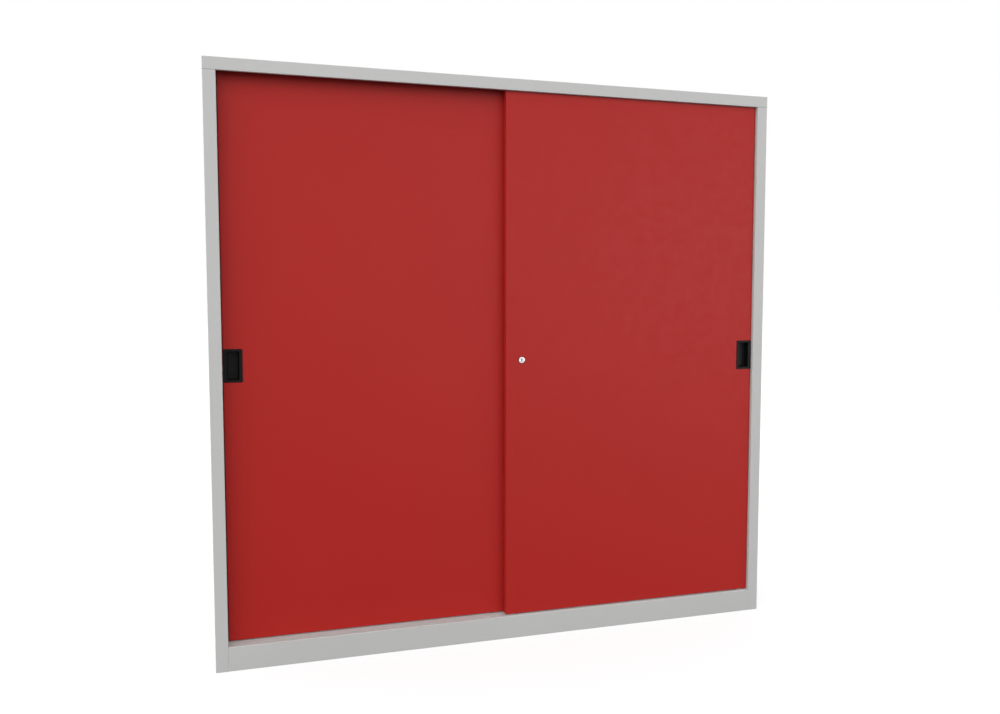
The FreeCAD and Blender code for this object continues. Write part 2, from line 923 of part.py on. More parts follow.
def make_lock_cam():
    """Joggled hook that hangs down when unlocked and swings onto the catch pin."""
    half = cam_width / 2
    tip = cam_reach + catch_pin_radius + cam_notch_clearance + cam_hook
    low = lock_height - tip
    start = lock_height - cam_joggle_start
    end = lock_height - cam_joggle_end
    top = lock_height + half
    # Side view as (y, z): hub plate, slanted joggle, tip plate.
    side_view = [
        (cam_near, top),
        (cam_near, start),
        (cam_tip_near, end),
        (cam_tip_near, low),
        (cam_tip_near + cam_sheet, low),
        (cam_tip_near + cam_sheet, end),
        (cam_near + cam_sheet, start),
        (cam_near + cam_sheet, top),
    ]
    strip = solid_between(side_view, [0] * 8, across(lock_x - half), along_x(cam_width))
    # Front view: a half-round hub above a straight arm.
    arm = block((lock_x - half, cam_near, low), (lock_x + half, cam_tip_near + cam_sheet, lock_height))
    plan = arm.fuse(lock_line(half, cam_near, cam_tip_near + cam_sheet))
    notch_half = catch_pin_radius + cam_notch_clearance
    ring_near = cam_tip_near - running_gap
    ring_far = cam_tip_near + cam_sheet + running_gap
    ring = lock_line(cam_reach + notch_half, ring_near, ring_far)
    ring = ring.cut(lock_line(cam_reach - notch_half, ring_near, ring_far))
    # The notch is open on the side that leads as the cam swings to the catch.
    leading = block(
        (lock_x - cam_width, ring_near, low - cam_hook),
        (lock_x, ring_far, lock_height - cam_joggle_end),
    )
    notch_end = rod(
        notch_half,
        (lock_x, ring_near, lock_height - cam_reach),
        (lock_x, ring_far, lock_height - cam_reach),
    )
    screw_hole = lock_line(cam_screw_radius + shaft_clearance, cam_near - sheet, cam_near + 2 * cam_sheet)
    return strip.common(plan).cut([ring.common(leading), notch_end, screw_hole])


def make_cam_screw():
    head = cam_near + cam_sheet
    shank = lock_line(cam_screw_radius, cam_near - cam_screw_depth + shaft_clearance, head)
    return shank.fuse(lock_line(cam_screw_head_radius, head, head + cam_screw_head))


def make_catch_plate():
    """Plate on the rear door's face that holds the catch pin."""
    face = front + rear_lane
    right = rear_door_right - bend_radius - sheet
    plate = block(
        (right - catch_plate_width, face - catch_plate_thickness, lock_height - catch_plate_height / 2),
        (right, face, lock_height + catch_plate_height / 2),
    )
    hole = rod(
        catch_pin_radius + shaft_clearance,
        (pin_x, face - 2 * catch_plate_thickness, lock_height),
        (pin_x, face + catch_plate_thickness, lock_height),
    )
    return plate.cut(hole)


def make_catch_pin():
    face = front + rear_lane
    return rod(catch_pin_radius, (pin_x, face - catch_pin_height, lock_height), (pin_x, face, lock_height))


# ---- Assembly ---------------------------------------------------------------
def make_body_nodes():
    left_side = make_left_side_panel()
    left_back = make_left_back_panel()
    nodes = {
        "left_side_panel": left_side,
        "right_side_panel": mirrored(left_side),
        "top_panel": make_top_panel(),
        "base_panel": make_base_panel(),
        "left_back_panel": left_back,
        "right_back_panel": mirrored(left_back),
        "floor_bearers": make_floor_bearers(),
        "centre_partition": make_centre_partition(),
        "front_track": make_track(front_lane),
        "rear_track": make_track(rear_lane),
        "rear_track_stop": make_track_stop(),
        "door_buffers": make_door_buffers(),
        "shelf_clips": make_shelf_clips(),
    }
    outer_left, inner_left = bay_walls(-1)
    outer_right, inner_right = bay_walls(1)
    nodes["side_shelf_rails"] = make_shelf_rails([(outer_left, 1), (outer_right, -1)])
    nodes["partition_shelf_rails"] = make_shelf_rails([(inner_left, -1), (inner_right, 1)])
    for name, side in (("left", -1), ("right", 1)):
        for number in range(1, shelf_count + 1):
            nodes["%s_shelf_%d" % (name, number)] = make_shelf(side, number)
    return nodes


def make_door_nodes():
    nodes = {}
    doors = (("front", front_door_left, front_lane, True), ("rear", rear_door_left, rear_lane, False))
    for name, left, lane, at_right_edge in doors:
        handle_x = handle_centre(left, at_right_edge)
        nodes[name + "_door_handle"] = make_handle(handle_x, lane)
        nodes[name + "_door_stiffeners"] = make_stiffeners(left, lane)
        nodes[name + "_door_hangers"] = make_hangers(left, lane)
        nodes[name + "_door_axles"] = make_axles(left, lane)
        nodes[name + "_door_guides"] = make_guides(left, lane)
        for end, x in zip(("left", "right"), pair_places(left, hanger_inset)):
            nodes["%s_door_%s_wheel" % (name, end)] = make_wheel(x, lane)
    nodes["front_door_panel"] = make_front_door_panel()
    nodes["rear_door_panel"] = make_door_panel(
        rear_door_left, rear_lane, handle_centre(rear_door_left, False)
    )
    return nodes


def make_lock_nodes():
    return {
        "lock_housing": make_lock_housing(),
        "lock_nut": make_lock_nut(),
        "lock_plug": make_lock_plug(),
        "lock_cam": make_lock_cam(),
        "lock_cam_screw": make_cam_screw(),
        "lock_catch_plate": make_catch_plate(),
        "lock_catch_pin": make_catch_pin(),
    }


def main():
    os.makedirs("parts", exist_ok=True)
    for make_nodes in (make_body_nodes, make_door_nodes, make_lock_nodes):
        for name, shape in make_nodes().items():
            shape.exportStep("parts/%s.step" % name)


main()
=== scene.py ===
import logging
import math
from dataclasses import dataclass
from enum import Enum
from typing import Callable, Optional, Sequence, Union

import bmesh
import bpy
from mathutils import Matrix, Vector


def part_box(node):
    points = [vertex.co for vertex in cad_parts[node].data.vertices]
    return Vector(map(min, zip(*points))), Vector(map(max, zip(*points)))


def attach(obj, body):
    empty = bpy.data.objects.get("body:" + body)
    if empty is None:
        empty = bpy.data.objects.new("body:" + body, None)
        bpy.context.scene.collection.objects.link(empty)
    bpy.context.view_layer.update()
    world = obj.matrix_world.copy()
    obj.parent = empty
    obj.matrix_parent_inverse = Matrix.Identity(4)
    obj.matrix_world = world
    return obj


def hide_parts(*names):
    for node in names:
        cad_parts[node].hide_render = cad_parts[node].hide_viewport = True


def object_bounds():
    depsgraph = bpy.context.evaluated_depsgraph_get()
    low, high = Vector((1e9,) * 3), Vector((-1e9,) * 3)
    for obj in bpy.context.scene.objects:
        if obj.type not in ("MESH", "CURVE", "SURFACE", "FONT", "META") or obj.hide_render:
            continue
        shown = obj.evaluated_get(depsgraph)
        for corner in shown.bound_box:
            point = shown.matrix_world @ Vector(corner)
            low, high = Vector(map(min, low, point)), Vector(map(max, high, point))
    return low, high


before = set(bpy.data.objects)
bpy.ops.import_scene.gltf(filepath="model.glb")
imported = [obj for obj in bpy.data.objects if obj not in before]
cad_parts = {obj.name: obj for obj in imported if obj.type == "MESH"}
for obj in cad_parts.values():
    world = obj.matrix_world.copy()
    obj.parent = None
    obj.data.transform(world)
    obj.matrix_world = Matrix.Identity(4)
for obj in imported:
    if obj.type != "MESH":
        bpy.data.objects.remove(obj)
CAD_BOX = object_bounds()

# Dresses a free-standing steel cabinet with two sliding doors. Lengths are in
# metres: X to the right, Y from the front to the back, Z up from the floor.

log = logging.getLogger("cabinet")

Coordinates = Sequence[float]
FaceTest = Callable[[Vector, Vector], bool]
EdgeTest = Callable[[Vector, Vector], bool]
Socket = bpy.types.NodeSocket
Input = Union[Socket, float, Coordinates]

NEAR = 1e-5           # two places this close are the same place
ALONG = 0.9           # cosine past which a face or an edge counts as lying along an axis
PAST = 0.001          # how far a cutter reaches past what it cuts
FOLD_STEPS = 4        # faces round a square fold
FOLD_ANGLE = 0.2      # radians past which two faces meet in a fold and not within a flat
BODY = "cabinet"
AXIS_X, AXIS_Y, AXIS_Z = Vector((1, 0, 0)), Vector((0, 1, 0)), Vector((0, 0, 1))


# ---- Finishes -----------------------------------------------------------------
class Slot(Enum):
    """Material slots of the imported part."""

    BODY = "body_grey"
    DOOR = "door_red"
    ZINC = "zinc_steel"
    PLASTIC = "black_plastic"
    NYLON = "white_nylon"
    RUBBER = "black_rubber"
    CHROME = "lock_chrome"


class NodeTree:
    """Nodes of a material or a world under construction."""

    def __init__(self, owner: Union[bpy.types.Material, bpy.types.World], output: str) -> None:
        """Start with an output node alone.

        Args:
            owner: What the nodes belong to.
            output: Blender's name of the output node type.
        """
        owner.use_nodes = True
        self.nodes, self.links = owner.node_tree.nodes, owner.node_tree.links
        self.nodes.clear()
        self.output = self.add(output)

    def add(self, kind: str, *values: Input, **named: Input) -> bpy.types.Node:
        """Add a node and fill its inputs.

        Args:
            kind: Blender's name of the node type.
            values: Its first inputs in order, each a value or an output socket.
            named: Inputs by name, with spaces as underscores.

        Returns:
            The new node.
        """
        node = self.nodes.new(kind)
        inputs = [(node.inputs[name.replace("_", " ")], value) for name, value in named.items()]
        for socket, value in [*zip(node.inputs, values), *inputs]:
            if isinstance(value, Socket):
                self.links.new(value, socket)
            else:
                socket.default_value = value
        return node

    def compute(self, operation: str, *values: Input) -> Socket:
        """Compute something with a math node.

        Args:
            operation: Blender's name of the operation.
            values: What it works on, each a number or an output socket.

        Returns:
            The result.
        """
        node = self.add("ShaderNodeMath", *values)
        node.operation = operation
        return node.outputs[0]

    def seen_directly(self) -> Socket:
        """Socket that is 1 for camera, glossy and transmission rays.

        Returns:
            The socket.
        """
        rays = self.add("ShaderNodeLightPath").outputs
        either = self.compute("MAXIMUM", rays["Is Camera Ray"], rays["Is Glossy Ray"])
        return self.compute("MAXIMUM", either, rays["Is Transmission Ray"])

    def show(self, shader: bpy.types.Node) -> None:
        """Connect a shader to the output node."""
        self.links.new(shader.outputs[0], self.output.inputs["Surface"])


class SurfaceTree(NodeTree):
    """A surface material under construction, with its shader and its object coordinates."""

    def __init__(self, name: str) -> None:
        """Start a material with a plain shader.

        Args:
            name: Name of the material.
        """
        self.material = bpy.data.materials.new(name)
        super().__init__(self.material, "ShaderNodeOutputMaterial")
        self.shader = self.add("ShaderNodeBsdfPrincipled")
        self.show(self.shader)
        self.place = self.add("ShaderNodeTexCoord").outputs["Object"]

    def noise(self, scale: float, detail: float = 2.0, stretch: Optional[Coordinates] = None) -> Socket:
        """Noise on the object coordinates.

        Args:
            scale: Features per metre.
            detail: Octaves.
            stretch: Factor on the coordinates along X, Y and Z, if they are stretched.

        Returns:
            The pattern.
        """
        place = self.place
        if stretch is not None:
            place = self.add("ShaderNodeMapping", Vector=place, Scale=stretch).outputs["Vector"]
        return self.add("ShaderNodeTexNoise", Vector=place, Scale=scale, Detail=detail).outputs["Fac"]

    def cells(self, scale: float) -> Socket:
        """Pattern of round cells, so many per metre."""
        return self.add("ShaderNodeTexVoronoi", Vector=self.place, Scale=scale).outputs["Distance"]

    def spread(self, pattern: Socket, low: float, high: float) -> Socket:
        """Map the middle of a pattern to a range of values."""
        ranges = {"From_Min": 0.3, "From_Max": 0.7, "To_Min": low, "To_Max": high}
        return self.add("ShaderNodeMapRange", Value=pattern, **ranges).outputs["Result"]

    def vary_colour(self, pattern: Socket, colour: Coordinates, shift: float) -> None:
        """Let the base colour drift a little lighter and darker with a pattern.

        Args:
            pattern: The pattern.
            colour: Linear colour in the middle.
            shift: Relative change of lightness each way.
        """
        mix = self.add("ShaderNodeMix")
        mix.data_type = "RGBA"
        self.links.new(self.spread(pattern, 0.0, 1.0), mix.inputs[0])
        for socket, side in ((6, 1 - shift), (7, 1 + shift)):
            mix.inputs[socket].default_value = (*[min(part * side, 1) for part in colour], 1)
        self.links.new(mix.outputs[2], self.shader.inputs["Base Color"])

    def vary_roughness(self, pattern: Socket, low: float, high: float) -> None:
        """Let the roughness follow a pattern between two values."""
        self.links.new(self.spread(pattern, low, high), self.shader.inputs["Roughness"])

    def relief(self, pattern: Socket, depth: float, strength: float) -> None:
        """Raise the surface with a pattern, by a depth in metres of which a share shows."""
        bump = self.add("ShaderNodeBump", Strength=strength, Distance=depth, Height=pattern)
        self.links.new(bump.outputs["Normal"], self.shader.inputs["Normal"])


@dataclass(frozen=True)
class Finish:
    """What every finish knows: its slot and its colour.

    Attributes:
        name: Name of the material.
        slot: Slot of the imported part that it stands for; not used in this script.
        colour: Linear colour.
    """

    name: str
    slot: Slot
    colour: tuple[float, float, float]

    def material(self) -> bpy.types.Material:
        """The material, made on first use.

        Returns:
            The material, the same one each time.
        """
        found = bpy.data.materials.get(self.name)
        if found is not None:
            return found
        tree = SurfaceTree(self.name)
        self.compose(tree)
        return tree.material

    def compose(self, tree: SurfaceTree) -> None:
        """Add the finish's own nodes to a tree."""
        raise NotImplementedError


@dataclass(frozen=True)
class PowderCoat(Finish):
    """Half-matt powder coat with a fine orange-peel texture.

    Attributes:
        sheen: Specular level.
        drift: How far the colour wanders, as a fraction.
        peel_per_metre: Scale of the orange peel.
        peel_depth: Height of its relief.
    """

    sheen: float = 0.13
    drift: float = 0.015
    peel_per_metre: float = 750.0
    peel_depth: float = 0.00003

    def compose(self, tree: SurfaceTree) -> None:
        """Cloudy colour, uneven gloss and orange peel.

        Args:
            tree: Tree to add to.
        """
        tree.shader.inputs["Specular IOR Level"].default_value = self.sheen
        tree.vary_colour(tree.noise(scale=2.2, detail=3.0), self.colour, self.drift)
        tree.vary_roughness(tree.noise(scale=35.0), low=0.44, high=0.52)
        tree.relief(tree.noise(self.peel_per_metre, detail=2.5), self.peel_depth, strength=0.5)


@dataclass(frozen=True)
class ZincPlate(Finish):
    """Zinc plated steel with its rolling grain and faint spangle.

    Attributes:
        grain_per_metre: Scale of the rolling grain.
    """

    grain_per_metre: float = 1400.0

    def compose(self, tree: SurfaceTree) -> None:
        """Spangle in the colour, grain in the gloss and relief.

        Args:
            tree: Tree to add to.
        """
        tree.shader.inputs["Metallic"].default_value = 1.0
        tree.vary_colour(tree.cells(scale=160.0), self.colour, shift=0.05)
        grain = tree.noise(self.grain_per_metre, detail=3.0, stretch=(0.03, 1.0, 1.0))
        tree.vary_roughness(grain, low=0.3, high=0.42)
        tree.relief(grain, depth=0.00001, strength=0.3)


@dataclass(frozen=True)
class BrightPlate(Finish):
    """Polished plating with the faintest haze.

    Attributes:
        rough_low: Roughness where it is clearest.
        rough_high: Roughness where it is haziest.
    """

    rough_low: float = 0.08
    rough_high: float = 0.16

    def compose(self, tree: SurfaceTree) -> None:
        """Haze in the gloss and a little in the colour.

        Args:
            tree: Tree to add to.
        """
        tree.shader.inputs["Metallic"].default_value = 1.0
        haze = tree.noise(scale=300.0, detail=3.0)
        tree.vary_colour(haze, self.colour, shift=0.02)
        tree.vary_roughness(haze, self.rough_low, self.rough_high)
        tree.relief(haze, depth=0.000002, strength=0.3)


@dataclass(frozen=True)
class MouldedPlastic(Finish):
    """Injection-moulded plastic with a spark-eroded grain.

    Attributes:
        sheen: Specular level.
        rough_low: Lowest roughness.
        rough_high: Highest roughness.
        grain_per_metre: Scale of the grain.
        grain_depth: Height of its relief.
    """

    sheen: float = 0.3
    rough_low: float = 0.42
    rough_high: float = 0.55
    grain_per_metre: float = 1600.0
    grain_depth: float = 0.00003

    def compose(self, tree: SurfaceTree) -> None:
        """Even colour with a grained surface.

        Args:
            tree: Tree to add to.
        """
        tree.shader.inputs["Specular IOR Level"].default_value = self.sheen
        flow = tree.noise(scale=60.0)
        tree.vary_colour(flow, self.colour, shift=0.06)
        tree.vary_roughness(flow, self.rough_low, self.rough_high)
        tree.relief(tree.cells(self.grain_per_metre), self.grain_depth, strength=0.4)


BODY_COAT = PowderCoat("light grey powder coat", Slot.BODY, (0.499, 0.501, 0.495))
DOOR_COAT = PowderCoat("red powder coat", Slot.DOOR, (0.384, 0.0160, 0.0126))
ZINC = ZincPlate("zinc plate", Slot.ZINC, (0.62, 0.63, 0.64))
CHROME = BrightPlate("polished chrome", Slot.CHROME, (0.66, 0.66, 0.665))
NICKEL = BrightPlate("brushed nickel", Slot.CHROME, (0.62, 0.615, 0.60), 0.12, 0.2)
BLACK_PLASTIC = MouldedPlastic("black moulded plastic", Slot.PLASTIC, (0.0045, 0.0044, 0.0044), 0.10)
GLIDE_PLASTIC = MouldedPlastic("dark grey glide plastic", Slot.PLASTIC, (0.16, 0.158, 0.155), 0.2)
# The wafers in the key slot are real; their near-black colour is painted shade inside the keyhole.
KEYHOLE_SHADE_STEEL = MouldedPlastic("wafer steel darkened as keyhole shade", Slot.CHROME, (0.012, 0.011, 0.010), 0.1, 0.5, 0.7)
NYLON = MouldedPlastic("white nylon", Slot.NYLON, (0.72, 0.71, 0.67), 0.4, 0.34, 0.42, 900.0, 0.00001)
RUBBER = MouldedPlastic("black rubber", Slot.RUBBER, (0.018, 0.018, 0.018), 0.2, 0.75, 0.9, 500.0)


# ---- Modelling ----------------------------------------------------------------
class Run(Enum):
    """Axis along which a folded profile is carried."""

    X = "x"
    Y = "y"
    Z = "z"

    def place(self, u: float, v: float, onward: float) -> Vector:
        """A point of a profile in space.

        Args:
            u: First coordinate of the profile.
            v: Second coordinate of the profile.
            onward: Place along the run.

        Returns:
            The point, with u and v on the two other axes in X, Y, Z order.
        """
        orders = {Run.X: (onward, u, v), Run.Y: (u, onward, v), Run.Z: (u, v, onward)}
        return Vector(orders[self])


def facing(direction: Vector, place: Optional[Vector] = None) -> FaceTest:
    """Test for faces that face a direction.

    Args:
        direction: Unit vector along an axis.
        place: A point level with the faces, if only those at one level count.

    Returns:
        The test.
    """

    def test(middle: Vector, normal: Vector) -> bool:
        """Whether a face passes."""
        level = place is None or abs((middle - place).dot(direction)) < NEAR
        return normal.dot(direction) > ALONG and level

    return test


def along(axis: Vector) -> EdgeTest:
    """Test for edges that run along an axis."""
    return lambda a, b: abs((b - a).normalized().dot(axis)) > ALONG


def level_with(place: Vector, axis: Vector = AXIS_Y) -> EdgeTest:
    """Test for edges that lie level with a place along an axis."""
    return lambda a, b: max(abs((a - place).dot(axis)), abs((b - place).dot(axis))) < NEAR


def between(start: Vector, end: Vector) -> EdgeTest:
    """Test for the edge that joins two points, whichever way round."""
    ends = ((start, end), (end, start))
    return lambda a, b: any(max((a - p).length, (b - q).length) < NEAR for p, q in ends)


@dataclass
class Piece:
    """One mesh under construction, shaped with Blender's own operators.

    Attributes:
        thing: The mesh object.
    """

    thing: bpy.types.Object

    # -- starting shapes
    @staticmethod
    def clear_bench() -> None:
        """Leave edit mode and deselect everything."""
        if bpy.context.mode != "OBJECT":
            bpy.ops.object.mode_set(mode="OBJECT")
        bpy.ops.object.select_all(action="DESELECT")

    @classmethod
    def adopt(cls, name: str) -> "Piece":
        """Name the new primitive and bake its place into its mesh.

        Args:
            name: Name of the piece.

        Returns:
            The piece.
        """
        thing = bpy.context.object
        thing.name = name
        bpy.ops.object.transform_apply()
        return cls(thing)

    @classmethod
    def block(cls, name: str, low: Coordinates, high: Coordinates) -> "Piece":
        """Start from a box between two opposite corners.

        Args:
            name: Name of the piece.
            low: Lowest corner.
            high: Highest corner.

        Returns:
            The box.
        """
        cls.clear_bench()
        first, last = Vector(low), Vector(high)
        bpy.ops.mesh.primitive_cube_add(size=1, location=(first + last) / 2)
        bpy.context.object.scale = last - first
        return cls.adopt(name)

    @classmethod
    def bar(
        cls, name: str, radius: float, start: Coordinates, end: Coordinates, sides: int = 48
    ) -> "Piece":
        """Start from a round bar between two points.

        Args:
            name: Name of the piece.
            radius: Radius of the bar.
            start: Middle of one end.
            end: Middle of the other end.
            sides: Faces round the bar.

        Returns:
            The bar.
        """
        cls.clear_bench()
        first, last = Vector(start), Vector(end)
        reach = last - first
        bpy.ops.mesh.primitive_cylinder_add(
            vertices=sides,
            radius=radius,
            depth=reach.length,
            location=(first + last) / 2,
            rotation=reach.to_track_quat("Z", "Y").to_euler(),
        )
        return cls.adopt(name)

    @classmethod
    def spindle(
        cls, name: str, radius: float, middle: Vector, near: float, far: float, sides: int = 48
    ) -> "Piece":
        """Start from a round bar that runs from front to back.

        Args:
            name: Name of the piece.
            radius: Radius of the bar.
            middle: Any point on its centre line.
            near: Its front end, as a y place.
            far: Its rear end, as a y place.
            sides: Faces round the bar.

        Returns:
            The bar.
        """
        return cls.bar(name, radius, (middle.x, near, middle.z), (middle.x, far, middle.z), sides)

    @classmethod
    def strip(
        cls, name: str, run: Run, first: Coordinates, second: Coordinates, start: float, end: float
    ) -> "Piece":
        """Start from a flat strip between two profile points.

        Args:
            name: Name of the piece.
            run: Axis that the strip is carried along.
            first: First profile point.
            second: Second profile point.
            start: Beginning of the run.
            end: End of the run.

        Returns:
            The strip, one face without thickness.
        """
        cls.clear_bench()
        bpy.ops.mesh.primitive_plane_add(size=1)
        corner = run.place(*first, start)
        across, onward = run.place(*second, start) - corner, run.place(*first, end) - corner
        laid = Matrix((across, onward, across.cross(onward).normalized())).transposed().to_4x4()
        laid.translation = corner + (across + onward) / 2
        bpy.context.object.matrix_world = laid
        return cls.adopt(name)

    # -- modes and selection
    def edit(self) -> bpy.types.Mesh:
        """Enter edit mode on this piece alone, with nothing selected.

        Returns:
            The mesh in edit mode.
        """
        if bpy.context.mode != "EDIT_MESH" or bpy.context.object is not self.thing:
            self.rest()
            bpy.ops.object.mode_set(mode="EDIT")
        bpy.ops.mesh.select_all(action="DESELECT")
        return self.thing.data

    def edit_all(self) -> None:
        """Enter edit mode on this piece alone, with everything selected."""
        self.edit()
        bpy.ops.mesh.select_all(action="SELECT")

    def rest(self) -> None:
        """Back to object mode, with this piece alone selected."""
        self.clear_bench()
        self.thing.select_set(True)
        bpy.context.view_layer.objects.active = self.thing

    def pick_faces(self, test: FaceTest) -> "Piece":
        """Select the faces that pass a test.

        Args:
            test: Told the middle and the normal of a face.

        Returns:
            The piece itself.
        """
        mesh = self.edit()
        bpy.ops.mesh.select_mode(type="FACE")
        shape = bmesh.from_edit_mesh(mesh)
        for face in shape.faces:
            face.select_set(test(face.calc_center_median(), face.normal))
        bmesh.update_edit_mesh(mesh)
        return self

    def pick_edges(self, test: EdgeTest, folds_only: bool = False) -> "Piece":
        """Select the edges whose two ends pass a test.

        Args:
            test: Told the two ends of an edge.
            folds_only: Leave out edges at the rim and edges within a flat.

        Returns:
            The piece itself.
        """
        mesh = self.edit()
        bpy.ops.mesh.select_mode(type="EDGE")
        shape = bmesh.from_edit_mesh(mesh)
        for edge in shape.edges:
            counts = not folds_only or (edge.is_manifold and edge.calc_face_angle(0.0) > FOLD_ANGLE)
            edge.select_set(counts and test(edge.verts[0].co, edge.verts[1].co))
        bmesh.update_edit_mesh(mesh)
        return self

    # -- shaping what is selected
    def inset(self, width: float, depth: float = 0.0) -> "Piece":
        """Inset the selected faces."""
        bpy.ops.mesh.inset(thickness=width, depth=depth)
        return self

    def extrude(self, offset: Coordinates) -> "Piece":
        """Extrude the selected faces by an offset."""
        bpy.ops.mesh.extrude_region_move(TRANSFORM_OT_translate={"value": tuple(offset)})
        return self

    def stretch(self, factors: Coordinates, centre: Coordinates) -> "Piece":
        """Scale what is selected about a point."""
        bpy.ops.transform.resize(value=tuple(factors), center_override=tuple(centre))
        return self

    def delete_faces(self) -> "Piece":
        """Delete the selected faces."""
        bpy.ops.mesh.delete(type="FACE")
        return self

    def round_edges(self, width: float, segments: int = 3) -> "Piece":
        """Round the selected edges."""
        bpy.ops.mesh.bevel(offset=width, segments=segments, affect="EDGES", clamp_overlap=True)
        return self

    # -- whole-piece work
    def modify(self, kind: str, **settings: object) -> "Piece":
        """Add a modifier, set it and apply it.

        Args:
            kind: Blender's name of the modifier type.
            settings: Its settings.

        Returns:
            The piece itself.
        """
        self.rest()
        modifier = self.thing.modifiers.new(kind.title(), kind)
        for name, value in settings.items():
            setattr(modifier, name, value)
        bpy.ops.object.modifier_apply(modifier=modifier.name)
        return self

    def thicken(self, thickness: float, side: float) -> "Piece":
        """Give a shell its thickness, towards its normals for side 1."""
        even = {"use_even_offset": True, "use_quality_normals": True}
        return self.modify("SOLIDIFY", thickness=thickness, offset=side, **even).face_outwards()

    def face_outwards(self) -> "Piece":
        """Turn every face of a closed mesh outwards.

        Returns:
            The piece itself.
        """
        self.edit_all()
        bpy.ops.mesh.normals_make_consistent(inside=False)
        return self

    def ease_edges(self, width: float, segments: int = 1, angle: float = 50.0) -> "Piece":
        """Break all sharp edges a little.

        Args:
            width: Width of the rounding.
            segments: Steps across it.
            angle: Smallest angle in degrees that counts as sharp.

        Returns:
            The piece itself.
        """
        return self.modify(
            "BEVEL",
            width=width,
            segments=segments,
            limit_method="ANGLE",
            angle_limit=math.radians(angle),
            miter_outer="MITER_ARC" if segments > 1 else "MITER_SHARP",
        )

    def cut(self, *cutters: "Piece") -> "Piece":
        """Cut holes with other pieces, which are used up.

        Args:
            cutters: Closed pieces.

        Returns:
            The piece itself.
        """
        for cutter in cutters:
            self.modify("BOOLEAN", object=cutter.thing, operation="DIFFERENCE", solver="EXACT")
            bpy.data.objects.remove(cutter.thing)
        return self

    def drill(self, radius: float, middle: Vector, near: float, far: float, sides: int = 64) -> "Piece":
        """Cut a round hole from front to back.

        Args:
            radius: Radius of the hole.
            middle: Any point on its centre line.
            near: Front of what it goes through, as a y place.
            far: Back of what it goes through, as a y place.
            sides: Faces round the hole.

        Returns:
            The piece itself.
        """
        return self.cut(Piece.spindle("bore", radius, middle, near - PAST, far + PAST, sides))

    def join(self, *others: "Piece") -> "Piece":
        """Take the meshes of other pieces into this one.

        Args:
            others: Pieces that end with this.

        Returns:
            The piece itself.
        """
        self.rest()
        for other in others:
            other.thing.select_set(True)
        if others:
            bpy.ops.object.join()
        return self

    @staticmethod
    def gather(name: str, pieces: Sequence["Piece"]) -> "Piece":
        """Join pieces into one under a name of their own."""
        pieces[0].thing.name = name
        return pieces[0].join(*pieces[1:])

    def shift(self, offset: Coordinates) -> "Piece":
        """Move the whole mesh.

        Args:
            offset: How far along each axis.

        Returns:
            The piece itself.
        """
        self.rest()
        self.thing.location = offset
        bpy.ops.object.transform_apply()
        return self

    def turned(self, angle: float, axis: str, centre: Coordinates) -> "Piece":
        """Turn the whole mesh about an axis through a point.

        Args:
            angle: How far, in radians.
            axis: X, Y or Z.
            centre: Point on the axis.

        Returns:
            The piece itself.
        """
        self.edit_all()
        bpy.ops.transform.rotate(value=angle, orient_axis=axis, center_override=tuple(centre))
        return self

    def copy(self, name: str, offset: Coordinates = (0.0, 0.0, 0.0)) -> "Piece":
        """A copy with its own mesh, moved by an offset.

        Args:
            name: Name of the copy.
            offset: How far along each axis.

        Returns:
            The copy.
        """
        self.rest()
        thing = self.thing.copy()
        thing.data = self.thing.data.copy()
        thing.name = name
        bpy.context.scene.collection.objects.link(thing)
        return Piece(thing).shift(offset)

    def mirrored(self, name: str) -> "Piece":
        """A mirrored copy on the other side of the cabinet's middle.

        Args:
            name: Name of the copy.

        Returns:
            The copy.
        """
        other = self.copy(name)
        other.thing.matrix_world = Matrix.Diagonal((-1, 1, 1, 1))
        bpy.ops.object.transform_apply()
        return other.face_outwards()

    def dress(self, finish: Finish, body: str, stands_for: Sequence[str] = (), smooth: float = 35.0) -> None:
        """Shade the piece, give it its finish and hand it to a body.

        Args:
            finish: What it is coated with or made of.
            body: Body that it moves with.
            stands_for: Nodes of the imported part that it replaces.
            smooth: Steepest angle in degrees that is shaded smooth.
        """
        self.rest()
        bpy.ops.object.shade_smooth_by_angle(angle=math.radians(smooth))
        self.modify("WEIGHTED_NORMAL", keep_sharp=True, weight=50)
        self.thing.data.materials.clear()
        self.thing.data.materials.append(finish.material())
        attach(self.thing, body)
        if stands_for:
            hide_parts(*stands_for)
        log.info("%s: %d faces in %s", self.thing.name, len(self.thing.data.polygons), finish.name)


